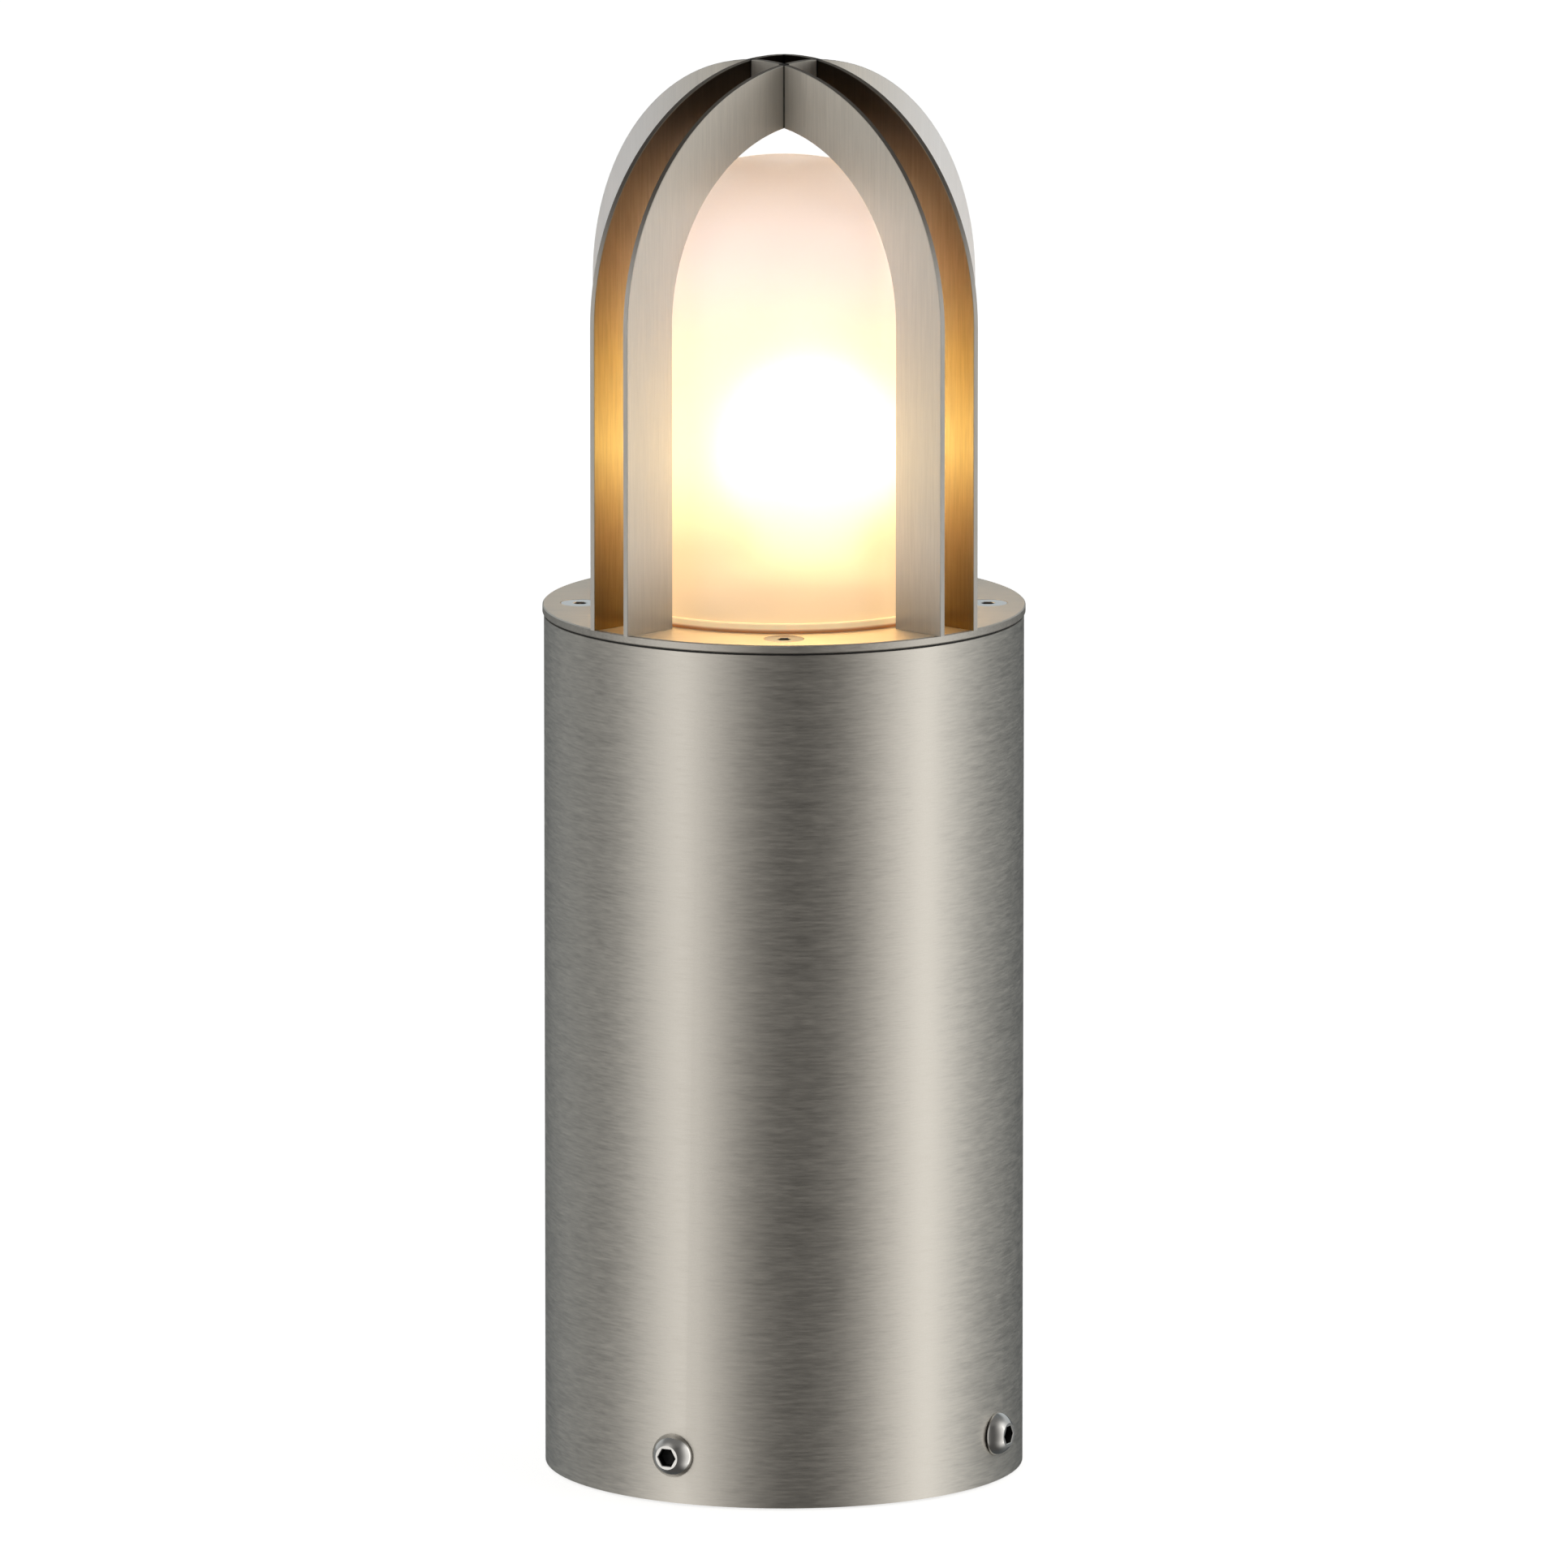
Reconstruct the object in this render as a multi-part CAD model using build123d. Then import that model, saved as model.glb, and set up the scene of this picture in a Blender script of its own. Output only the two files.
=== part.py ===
"""Bollard light: a brushed steel tube on a ground flange, and over it a head that lifts off,
made of a round plate, a cage of four interlocked arch plates and a domed opal glass.

Frame: millimetres, +Z up, origin at the centre of the underside, -Y towards the front.
The cage plates stand on the two diagonals between X and Y. Threads are plain cylinders.
"""
import os
from math import atan2, cos, degrees, radians, sin, sqrt, tan

from build123d import *

# Body tube and ground flange
TUBE_D = 114.3
TUBE_WALL = 2.0
BODY_HEIGHT = 208.0  # from the ground to the top of the head plate
FLANGE_PLATE_T = 5.0
FLANGE_RIM_H = 20.0
FLANGE_RIM_WALL = 4.0
FLANGE_CLEARANCE = 0.3  # between the flange's rim and the tube
ANCHOR_PCD = 76.0
ANCHOR_HOLE_D = 7.0
ANCHOR_ANGLE = 45.0
BODY_SCREW_Z = 11.5
BODY_SCREW_ANGLE = -117.5
BODY_SCREW_D = 6.0
BODY_SCREW_LENGTH = 9.0
BODY_SCREW_HEAD_D = 10.5
BODY_SCREW_HEAD_H = 3.3
BODY_SCREW_SOCKET = 4.0
BODY_SCREW_SOCKET_DEPTH = 2.1
BODY_SCREW_HOLE_SPARE = 0.3  # radial, in the tube wall

# Head plate and its seal
PLATE_OVERHANG = 0.35  # of the plate over the tube
PLATE_T = 2.0
PLATE_EDGE_BREAK = 0.25
SEAL_T = 0.5
SEAL_INSET = 0.8  # the seal stops this far inside the plate's edge
SEAL_WIDTH = 3.4
TOP_SCREW_D = 5.0
TOP_SCREW_LENGTH = 14.0
TOP_SCREW_HEAD_D = 9.4
TOP_SCREW_SOCKET = 3.0
TOP_SCREW_SOCKET_DEPTH = 1.9
TOP_SCREW_RIM = 0.15  # upright rim of the countersunk head
TOP_SCREW_SINK = 0.05  # how far the heads lie below the plate's surface

# Mounting ring inside the top of the tube
RING_WALL = 3.0
RING_H = 14.0
BOSS_D = 9.0
BOSS_INSET = 6.65  # from the tube's inside to the bosses' middle
BOSS_H = 22.0
FIT = 0.1  # radial clearance of pieces that are pushed or welded together
THREAD_FIT = 0.05
SCREW_SPARE = 0.25  # radial, round screws that pass through sheet
SCREW_TIP = 0.5  # bevel at the end of a screw

# Cage of four arch plates
CAGE_RISE = 131.0  # top of the cage above the plate
CAGE_OVERHANG = 1.0  # of the cage over the plate
ARCH_STRIP = 15.0
ARCH_T = 1.5
ARCH_OFFSET = 5.55  # each plate's middle from the cage's centre
ARCH_EDGE_BREAK = 0.15
ARCH_TAB_W = 8.0
ARCH_TAB_INSET = 2.0  # from the strip's inner edge
HALVING_TOP_CUT = 7.8
HALVING_WINDOW = 2.6  # how far the two halves' cuts pass each other
HALVING_CLEARANCE = 0.15

# Domed glass and what clamps it under the plate
GLASS_D = 80.0
GLASS_WALL = 3.0
GLASS_RISE = 107.4  # top of the glass above the plate
GLASS_CROWN_H = 24.0  # from the end of the straight side to the top
GLASS_SHOULDER_R = 18.0
GLASS_FOOT_W = 3.2
GLASS_FOOT_T = 4.0
GLASS_BREAK = 0.4  # edge break of the foot
GASKET_LIP_T = 1.0
GASKET_LIP_RISE = 2.2
GASKET_T = 1.0
CUSHION_T = 1.0
CLAMP_T = 2.0
CLAMP_INSET = 2.0  # inner edge from the glass's bore, towards the axis
CLAMP_GAP = 0.4  # between the clamp ring and the bosses
STUD_D = 4.0
STUD_ANGLE = 22.5
STUD_INSET = 2.0  # from the bosses' circle, towards the axis
STUD_TAIL = 1.4
NUT_AF = 7.0
NUT_H = 3.2
EAR_R = 4.6

# Lamp and lampholder
LAMP_X = 6.0  # the lampholder stands this far to the side of the axis
LAMP_D = 45.0
LAMP_CENTRE_RISE = 37.0  # middle of the bulb above the plate
LAMP_LENGTH = 76.0
LAMP_GLASS_T = 0.8
CAP_D = 25.2
CAP_RIDGE_R = 0.5
CAP_PITCH = 3.62
CAP_H = 22.0
CAP_WALL = 0.4
INSULATOR_H = 4.0
LAMP_CONTACT_D = 9.6
LAMP_CONTACT_H = 1.0
HOLDER_D = 40.0
HOLDER_H = 46.0
HOLDER_FLOOR_Z = 19.0  # floor of the lamp's socket above the holder's underside
HOLDER_SHELL_CLEARANCE = 0.3
HOLDER_SHELL_T = 0.6
HOLDER_SCREW_PITCH = 26.0
HOLDER_SCREW_D = 4.0
HOLDER_SCREW_LENGTH = 10.0
TERMINAL_PITCH = 14.0
TERMINAL_W = 6.0
TERMINAL_H = 9.0
TERMINAL_RECESS = 4.0
STRAP_W = 24.0
STRAP_T = 2.0
STRAP_ARM_INSET = 6.5  # from the bosses' circle, towards the axis
STRAP_SCREW_LENGTH = 9.0
NECK_DEPTH = 6.0  # how deep the bulb's neck stands in the cap
BULB_ARC_START = -48.0  # where the neck's curve meets the sphere, below its equator
STEM_R = 2.2
STEM_TOP_DROP = 12.0  # top of the stem below the bulb's middle
FILAMENT_R = 0.5
FILAMENT_HALF = 9.0
SUPPORT_R = 0.35
EARTH_Y = 31.0
EARTH_BARREL_Y = 22.0
EARTH_SCREW_D = 4.0
LUG_T = 1.0
BARREL_H = 8.0
RIVET_R = 1.2
LEAF_T = 0.6
LEAF_PIP = 0.4

# Wiring in the foot of the tube
BRACKET_W = 34.0
BRACKET_T = 2.0
BRACKET_Y = 20.0
BRACKET_FOOT = 16.0
BRACKET_H = 73.0
BLOCK_W = 38.0
BLOCK_D = 16.0
BLOCK_H = 20.0
BLOCK_Z = 44.0
POLE_PITCH = 12.0
GROMMET_BORE_D = 9.0
GROMMET_HOLE_D = 18.0
GROMMET_FLANGE_W = 2.2
GROMMET_TOP_T = 1.6
GROMMET_LIFT = 0.2  # of the grommet off the ground
LEAD_D = 2.4
LEAD_GRIP = 6.0  # how deep a lead stands in its insert
BRACKET_SCREW_D = 4.0
BRACKET_SCREW_LENGTH = 6.5
BLOCK_SCREW_R = 1.5
BLOCK_SCREW_HEAD_R = 2.7
BLOCK_SCREW_HEAD_H = 1.6
INSERT_R = 2.9
INSERT_BORE_R = 1.9
INSERT_SPARE = 2.0  # the inserts stop this far inside the block
CLAMP_SCREW_D = 3.0
CLAMP_SCREW_INSET = 3.0  # each clamp screw from its end of the insert
LEAD_TIP_GAP = 1.0  # from the earth lead's end to the bottom of its barrel
LEAD_BEND_SHARE = 0.45  # part of a run that each of its bends may take
LIVE_BENDS = [(-18, 9, 0.42), (-11, -4, 0.636)]  # x, y and share of the way up
NEUTRAL_BENDS = [(21, 8, 0.427), (19, -3, 0.653)]
EARTH_BENDS = [(-4, 20, 0.368), (4, 27, 0.586)]
LEAD_STRAIGHT = 0.18  # share of the way up that stays straight at each end

# Heads of the small screws: diameter, height, socket
HEAD_M4 = (7.0, 2.6, 2.5)
HEAD_M5 = (8.5, 3.0, 4.0)

# Places that follow from the sizes above
TUBE_R = TUBE_D / 2
TUBE_IN_R = TUBE_R - TUBE_WALL
PLATE_TOP = BODY_HEIGHT
PLATE_D = TUBE_D + 2 * PLATE_OVERHANG
CAGE_HALF_WIDTH = PLATE_D / 2 + CAGE_OVERHANG
TOP_SCREW_PITCH_R = TUBE_IN_R - BOSS_INSET
STUD_PITCH_R = TOP_SCREW_PITCH_R - STUD_INSET
STRAP_ARM_Y = TOP_SCREW_PITCH_R - STRAP_ARM_INSET
PLATE_UNDER = PLATE_TOP - PLATE_T
TUBE_TOP = PLATE_UNDER - SEAL_T
GLASS_R = GLASS_D / 2
GLASS_SPRING_Z = PLATE_TOP + GLASS_RISE - GLASS_CROWN_H
CROWN_STEP = GLASS_CROWN_H - GLASS_SHOULDER_R
CROWN_DROP = ((GLASS_R - GLASS_SHOULDER_R) ** 2 - CROWN_STEP**2) / (2 * CROWN_STEP)
CROWN_R = GLASS_CROWN_H + CROWN_DROP
PLATE_BORE_R = GLASS_R + FIT + GASKET_LIP_T + FIT
FOOT_R = GLASS_R + GLASS_FOOT_W
FOOT_TOP = PLATE_UNDER - GASKET_T
FOOT_UNDER = FOOT_TOP - GLASS_FOOT_T
CLAMP_TOP = FOOT_UNDER - CUSHION_T
CLAMP_UNDER = CLAMP_TOP - CLAMP_T
BOSS_UNDER = PLATE_UNDER - BOSS_H
LAMP_CENTRE_Z = PLATE_TOP + LAMP_CENTRE_RISE
LAMP_FOOT_Z = LAMP_CENTRE_Z + LAMP_D / 2 - LAMP_LENGTH
INSULATOR_Z = LAMP_FOOT_Z + LAMP_CONTACT_H
CAP_Z = INSULATOR_Z + INSULATOR_H
CAP_TOP = CAP_Z + CAP_H
CAP_R = CAP_D / 2
SOCKET_FLOOR = LAMP_FOOT_Z - LEAF_PIP - LEAF_T
HOLDER_UNDER = SOCKET_FLOOR - HOLDER_FLOOR_Z
HOLDER_TOP = HOLDER_UNDER + HOLDER_H
STRAP_UNDER = HOLDER_UNDER - STRAP_T
TERMINAL_Z = HOLDER_UNDER + TERMINAL_RECESS
POLE_Y = BRACKET_Y - BLOCK_D / 2
BLOCK_TOP = BLOCK_Z + BLOCK_H
CHANNEL_R = INSERT_R + FIT
NECK_R = CAP_R - CAP_WALL - FIT
SHELL_IN_R = CAP_R + CAP_RIDGE_R + HOLDER_SHELL_CLEARANCE
SHELL_R = SHELL_IN_R + HOLDER_SHELL_T
LEAD_START = BLOCK_TOP - INSERT_SPARE - LEAD_GRIP
LEAD_END = TERMINAL_Z
QUARTERS = range(4)


def rod(radius, z0, z1, x=0.0, y=0.0):
    """Upright round bar between two heights."""
    return Pos(x, y, z0) * Cylinder(radius, z1 - z0, align=(Align.CENTER, Align.CENTER, Align.MIN))


def block(x0, x1, y0, y1, z0, z1):
    """Box between six planes."""
    return Pos((x0 + x1) / 2, (y0 + y1) / 2, (z0 + z1) / 2) * Box(x1 - x0, y1 - y0, z1 - z0)


def ring(r_out, r_in, z0, z1):
    """Flat or tall ring about the Z axis."""
    return rod(r_out, z0, z1) - rod(r_in, z0 - 1, z1 + 1)


def polar(radius, angle):
    """Point at a radius and an angle from +X, in degrees."""
    return radius * cos(radians(angle)), radius * sin(radians(angle))


def turned(lines):
    """Solid of revolution about Z of an outline drawn in X (radius) and Y (height)."""
    return revolve(Plane.XZ * make_face(lines), Axis.Z)


def hexagon(across_flats, z0, z1):
    """Upright hexagonal bar."""
    return Pos(0, 0, z0) * extrude(RegularPolygon(across_flats / 2, 6, major_radius=False), z1 - z0)


def button_screw(d, length, head_d, head_h, socket, socket_depth):
    """Domed socket screw. The head's underside is at Z = 0 and the shank runs down."""
    rim, flat = 0.35, 0.55 * head_d / 2
    r = head_d / 2
    centre = (r**2 - flat**2 + rim**2 - head_h**2) / (2 * (rim - head_h))
    dome = sqrt(r**2 + (rim - centre) ** 2)
    half = (atan2(rim - centre, r) + atan2(head_h - centre, flat)) / 2
    middle = (dome * cos(half), centre + dome * sin(half))
    edge = [Polyline((0, head_h), (0, -length), (d / 2 - SCREW_TIP, -length), (d / 2, SCREW_TIP - length),
                     (d / 2, 0))]
    edge += [Polyline((d / 2, 0), (r - 0.1, 0), (r, 0.1), (r, rim))]
    edge += [ThreePointArc((r, rim), middle, (flat, head_h)), Line((flat, head_h), (0, head_h))]
    return turned(edge) - hexagon(socket, head_h - socket_depth, head_h + 1)


def countersunk_screw(d, length, head_d, socket, socket_depth):
    """Countersunk socket screw. The head's face is at Z = 0 and the shank runs down."""
    r = head_d / 2
    cone_end = -TOP_SCREW_RIM - (r - d / 2)
    outline = Polyline((0, 0), (0, -length), (d / 2 - SCREW_TIP, -length), (d / 2, SCREW_TIP - length),
                       (d / 2, cone_end), (r, -TOP_SCREW_RIM), (r - 0.1, 0), close=True)
    return turned(outline) - hexagon(socket, -socket_depth, 1)


def cylinder_screw(d, length, head_d, head_h, socket):
    """Plain cylinder-head socket screw. The head's underside is at Z = 0 and the shank runs down."""
    head = chamfer(rod(head_d / 2, 0, head_h).edges().group_by(Axis.Z)[-1], 0.3)
    return head + rod(d / 2, -length, 0.01) - hexagon(socket, head_h - 0.55 * head_h, head_h + 1)


def hex_nut(across_flats, height, bore_r):
    """Hexagon nut with chamfered corners, standing on Z = 0."""
    corner = across_flats / sqrt(3)
    blank = chamfer(rod(corner + 0.05, 0, height).edges(), 0.45)
    return (hexagon(across_flats, 0, height) & blank) - rod(bore_r, -1, height + 1)


def group(solids):
    """One node that holds several separate solids."""
    return Compound(children=[s for item in solids for s in item.solids()])


def body_screw_places():
    return [BODY_SCREW_ANGLE + 90 * i for i in QUARTERS]


def radial(angle, radius, z):
    """Location whose Z axis points outwards from the tube's axis."""
    x, y = polar(radius, angle)
    return Pos(x, y, z) * Rot(0, 0, angle) * Rot(0, 90, 0)


def body_tube():
    tube = ring(TUBE_R, TUBE_IN_R, 0, TUBE_TOP)
    hole_r = BODY_SCREW_D / 2 + BODY_SCREW_HOLE_SPARE
    for angle in body_screw_places():
        tube -= radial(angle, TUBE_R - TUBE_WALL / 2, BODY_SCREW_Z) * Cylinder(hole_r, 3 * TUBE_WALL)
    return tube


def base_flange():
    r = TUBE_IN_R - FLANGE_CLEARANCE
    flange = rod(r, 0, FLANGE_RIM_H) - rod(r - FLANGE_RIM_WALL, FLANGE_PLATE_T, FLANGE_RIM_H + 1)
    for angle in body_screw_places():
        thread = Cylinder(BODY_SCREW_D / 2 + THREAD_FIT, 3 * FLANGE_RIM_WALL)
        flange -= radial(angle, r - FLANGE_RIM_WALL / 2, BODY_SCREW_Z) * thread
    for i in QUARTERS:
        x, y = polar(ANCHOR_PCD / 2, ANCHOR_ANGLE + 90 * i)
        flange -= rod(ANCHOR_HOLE_D / 2, -1, FLANGE_PLATE_T + 1, x, y)
    flange -= rod(GROMMET_HOLE_D / 2, -1, FLANGE_PLATE_T + 1)
    flange -= rod(GROMMET_HOLE_D / 2 + GROMMET_FLANGE_W + FIT, -1, FLANGE_PLATE_T / 2)
    for x, y in bracket_screw_places():
        flange -= rod(BRACKET_SCREW_D / 2 + THREAD_FIT, -1, FLANGE_PLATE_T + 1, x, y)
    return flange


def body_screws():
    screw = button_screw(BODY_SCREW_D, BODY_SCREW_LENGTH, BODY_SCREW_HEAD_D, BODY_SCREW_HEAD_H,
                         BODY_SCREW_SOCKET, BODY_SCREW_SOCKET_DEPTH)
    return group(radial(angle, TUBE_R, BODY_SCREW_Z) * screw for angle in body_screw_places())


def cable_grommet():
    hole, low = GROMMET_HOLE_D / 2, GROMMET_LIFT
    wide = hole + GROMMET_FLANGE_W
    grommet = rod(hole - FIT, low, FLANGE_PLATE_T) + rod(wide, low, FLANGE_PLATE_T / 2 - FIT)
    top = rod(wide, FLANGE_PLATE_T, FLANGE_PLATE_T + GROMMET_TOP_T)
    grommet += chamfer(top.edges().group_by(Axis.Z)[-1], 0.5)
    return grommet - rod(GROMMET_BORE_D / 2, -1, FLANGE_PLATE_T + 5)


def bracket_screw_places():
    y = BRACKET_Y + BRACKET_T + (BRACKET_FOOT - BRACKET_T) / 2
    return [(-BRACKET_W / 4, y), (BRACKET_W / 4, y)]


def wiring_bracket():
    """Angle bracket on the flange that carries the terminal block."""
    x, base = BRACKET_W / 2, FLANGE_PLATE_T
    upright = block(-x, x, BRACKET_Y, BRACKET_Y + BRACKET_T, base, base + BRACKET_H)
    upright = fillet(upright.edges().filter_by(Axis.Y).group_by(Axis.Z)[-1], 4)
    bracket = upright + block(-x, x, BRACKET_Y, BRACKET_Y + BRACKET_FOOT, base, base + BRACKET_T)
    for sx, sy in bracket_screw_places():
        bracket -= rod(BRACKET_SCREW_D / 2 + SCREW_SPARE, base - 1, base + BRACKET_T + 1, sx, sy)
    for fx in block_screw_places():
        thread = Cylinder(BLOCK_SCREW_R + THREAD_FIT, 3 * BRACKET_T)
        bracket -= Pos(fx, BRACKET_Y + BRACKET_T / 2, BLOCK_Z + BLOCK_H / 2) * Rot(90, 0, 0) * thread
    return bracket


def wiring_bracket_screws():
    screw = cylinder_screw(BRACKET_SCREW_D, BRACKET_SCREW_LENGTH, *HEAD_M4)
    z = FLANGE_PLATE_T + BRACKET_T
    return group(Pos(x, y, z) * screw for x, y in bracket_screw_places())


def pole_places():
    return [-POLE_PITCH, 0.0, POLE_PITCH]


def block_screw_places():
    return [-POLE_PITCH / 2, POLE_PITCH / 2]


def clamp_screw_heights():
    low, high = BLOCK_Z + INSERT_SPARE, BLOCK_TOP - INSERT_SPARE
    return [low + CLAMP_SCREW_INSET, high - CLAMP_SCREW_INSET]


def terminal_block():
    """Three-way block with a channel for each pole and a well for each clamp screw."""
    x, front = BLOCK_W / 2, BRACKET_Y - BLOCK_D
    body = block(-x, x, front, BRACKET_Y, BLOCK_Z, BLOCK_TOP)
    body = chamfer(body.edges().filter_by(Axis.Z), 0.8)
    for px in pole_places():
        body -= rod(CHANNEL_R, BLOCK_Z - 1, BLOCK_TOP + 1, px, POLE_Y)
        for z in clamp_screw_heights():
            well = Cylinder(CLAMP_SCREW_D / 2 + 0.3, POLE_Y - front)
            body -= Pos(px, (front + POLE_Y) / 2 - 0.5, z) * Rot(90, 0, 0) * well
    for fx in block_screw_places():
        hole = Cylinder(BLOCK_SCREW_R + SCREW_SPARE, 2 * BLOCK_D)
        body -= Pos(fx, POLE_Y, BLOCK_Z + BLOCK_H / 2) * Rot(90, 0, 0) * hole
    return body


def terminal_inserts():
    low, high = BLOCK_Z + INSERT_SPARE, BLOCK_TOP - INSERT_SPARE
    inserts = []
    for px in pole_places():
        insert = rod(INSERT_R, low, high, px, POLE_Y) - rod(INSERT_BORE_R, low - 1, high + 1, px, POLE_Y)
        for z in clamp_screw_heights():
            hole = Cylinder(CLAMP_SCREW_D / 2 + THREAD_FIT, 2 * INSERT_R)
            insert -= Pos(px, POLE_Y - INSERT_R, z) * Rot(90, 0, 0) * hole
        inserts.append(insert)
    return group(inserts)


def terminal_screws():
    """Clamp screws: each stops just short of the lead that it clamps."""
    tip = POLE_Y - LEAD_D / 2 - 0.05
    face = BRACKET_Y - BLOCK_D + 0.6
    screw = Cylinder(CLAMP_SCREW_D / 2, tip - face, align=(Align.CENTER, Align.CENTER, Align.MIN))
    screw = screw - Pos(0, 0, 0.4) * Box(CLAMP_SCREW_D + 1, 0.6, 0.8)
    return group(Pos(px, face, z) * Rot(-90, 0, 0) * screw
                 for px in pole_places() for z in clamp_screw_heights())


def terminal_fixing_screws():
    face = BRACKET_Y - BLOCK_D
    screw = rod(BLOCK_SCREW_HEAD_R, 0, BLOCK_SCREW_HEAD_H)
    screw += rod(BLOCK_SCREW_R, -(BLOCK_D + BRACKET_T + 1), 0)
    screw -= Pos(0, 0, BLOCK_SCREW_HEAD_H) * Box(3 * BLOCK_SCREW_HEAD_R, 0.7, BLOCK_SCREW_HEAD_H)
    z = BLOCK_Z + BLOCK_H / 2
    return group(Pos(fx, face, z) * Rot(90, 0, 0) * screw for fx in block_screw_places())


def mounting_ring():
    """Ring welded inside the tube's top, with four bosses tapped from end to end."""
    r = TUBE_IN_R - FIT
    made = ring(r, r - RING_WALL, TUBE_TOP - RING_H, TUBE_TOP)
    for i in QUARTERS:
        x, y = polar(TOP_SCREW_PITCH_R, 90 * i)
        made += rod(BOSS_D / 2, BOSS_UNDER, PLATE_UNDER, x, y)
    for i in QUARTERS:
        x, y = polar(TOP_SCREW_PITCH_R, 90 * i)
        made -= rod(TOP_SCREW_D / 2 + THREAD_FIT, BOSS_UNDER - 1, PLATE_UNDER + 1, x, y)
        made -= Pos(x, y, PLATE_UNDER) * Cone(TOP_SCREW_D / 2 - 0.3, TOP_SCREW_D / 2 + 0.7, 1.0,
                                              align=(Align.CENTER, Align.CENTER, Align.MAX))
    return made


def top_screw_recess():
    """What the head plate leaves out for one countersunk screw, with the plate's surface at Z = 0."""
    r, rim = TOP_SCREW_HEAD_D / 2 + FIT, TOP_SCREW_SINK + TOP_SCREW_RIM
    cone = Cone(r - PLATE_T, r, PLATE_T, align=(Align.CENTER, Align.CENTER, Align.MAX))
    return Pos(0, 0, -rim) * cone + rod(r, -rim, 1) + rod(TOP_SCREW_D / 2 + SCREW_SPARE, -3 * PLATE_T, 0)


def arch_frames():
    """The four arch plates: name, angle of its plane from +X, and offset of its middle to the left."""
    return [
        ("cage_arch_lower_back", 45.0, ARCH_OFFSET),
        ("cage_arch_lower_front", 45.0, -ARCH_OFFSET),
        ("cage_arch_upper_back", 135.0, -ARCH_OFFSET),
        ("cage_arch_upper_front", 135.0, ARCH_OFFSET),
    ]


def tab_middle():
    """Middle of a leg's tab, from the cage's centre along the plate."""
    return CAGE_HALF_WIDTH - ARCH_STRIP + ARCH_TAB_INSET + ARCH_TAB_W / 2


def arch_outline(radius, leg):
    """Filled arch: straight legs under a half circle."""
    legs = Polyline((-radius, leg), (-radius, 0), (radius, 0), (radius, leg))
    return make_face([legs, ThreePointArc((radius, leg), (0, leg + radius), (-radius, leg))])


def arch_plate(upper):
    """One plate on the XZ plane. Lower plates are notched from above, upper plates from below."""
    leg = CAGE_RISE - CAGE_HALF_WIDTH
    inner = CAGE_HALF_WIDTH - ARCH_STRIP
    strip = arch_outline(CAGE_HALF_WIDTH, leg) - arch_outline(inner, leg)
    plate = extrude(Plane.XZ * strip, ARCH_T / 2, both=True)
    plate = chamfer(plate.faces().filter_by(Axis.Y).edges().filter_by(lambda e: e.center().Z > 0.1),
                    ARCH_EDGE_BREAK)
    half_t = ARCH_T / 2
    for side in (-1, 1):
        x = side * tab_middle()
        plate += block(x - ARCH_TAB_W / 2, x + ARCH_TAB_W / 2, -half_t, half_t, -PLATE_T, 0.5)
    edge = leg + sqrt(CAGE_HALF_WIDTH**2 - ARCH_OFFSET**2)
    cut_w = half_t + HALVING_CLEARANCE
    for x in (-ARCH_OFFSET, ARCH_OFFSET):
        if upper:
            low, high = leg, edge - HALVING_TOP_CUT + HALVING_WINDOW
        else:
            low, high = edge - HALVING_TOP_CUT, CAGE_RISE + 5
        plate -= block(x - cut_w, x + cut_w, -ARCH_T, ARCH_T, low, high)
    return plate


def arch_places():
    return {name: Pos(0, 0, PLATE_TOP) * Rot(0, 0, angle) * Pos(0, offset, 0)
            for name, angle, offset in arch_frames()}


def top_plate():
    plate = rod(PLATE_D / 2, PLATE_UNDER, PLATE_TOP)
    plate = chamfer(plate.edges(), PLATE_EDGE_BREAK)
    plate -= rod(PLATE_BORE_R, PLATE_UNDER - 1, PLATE_TOP + 1)
    for i in QUARTERS:
        x, y = polar(TOP_SCREW_PITCH_R, 90 * i)
        plate -= Pos(x, y, PLATE_TOP) * top_screw_recess()
    slot = Box(ARCH_TAB_W + 2 * FIT, ARCH_T + 2 * FIT, 3 * PLATE_T)
    for place in arch_places().values():
        for side in (-1, 1):
            plate -= place * Pos(side * tab_middle(), 0, -PLATE_T / 2) * slot
    return plate


def head_seal():
    r = PLATE_D / 2 - SEAL_INSET
    return ring(r, r - SEAL_WIDTH, TUBE_TOP, PLATE_UNDER)


def top_screws():
    screw = countersunk_screw(TOP_SCREW_D, TOP_SCREW_LENGTH, TOP_SCREW_HEAD_D, TOP_SCREW_SOCKET,
                              TOP_SCREW_SOCKET_DEPTH)
    z = PLATE_TOP - TOP_SCREW_SINK
    return group(Pos(*polar(TOP_SCREW_PITCH_R, 90 * i), z) * screw for i in QUARTERS)


def glass_skin(inset):
    """Shoulder and crown arcs of the glass, this far inside its outer skin."""
    turn = degrees(atan2(CROWN_DROP, GLASS_R - GLASS_SHOULDER_R))
    shoulder = CenterArc((GLASS_R - GLASS_SHOULDER_R, GLASS_SPRING_Z), GLASS_SHOULDER_R - inset, 0, turn)
    crown = CenterArc((0, GLASS_SPRING_Z - CROWN_DROP), CROWN_R - inset, turn, 90 - turn)
    return [shoulder, crown]


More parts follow.
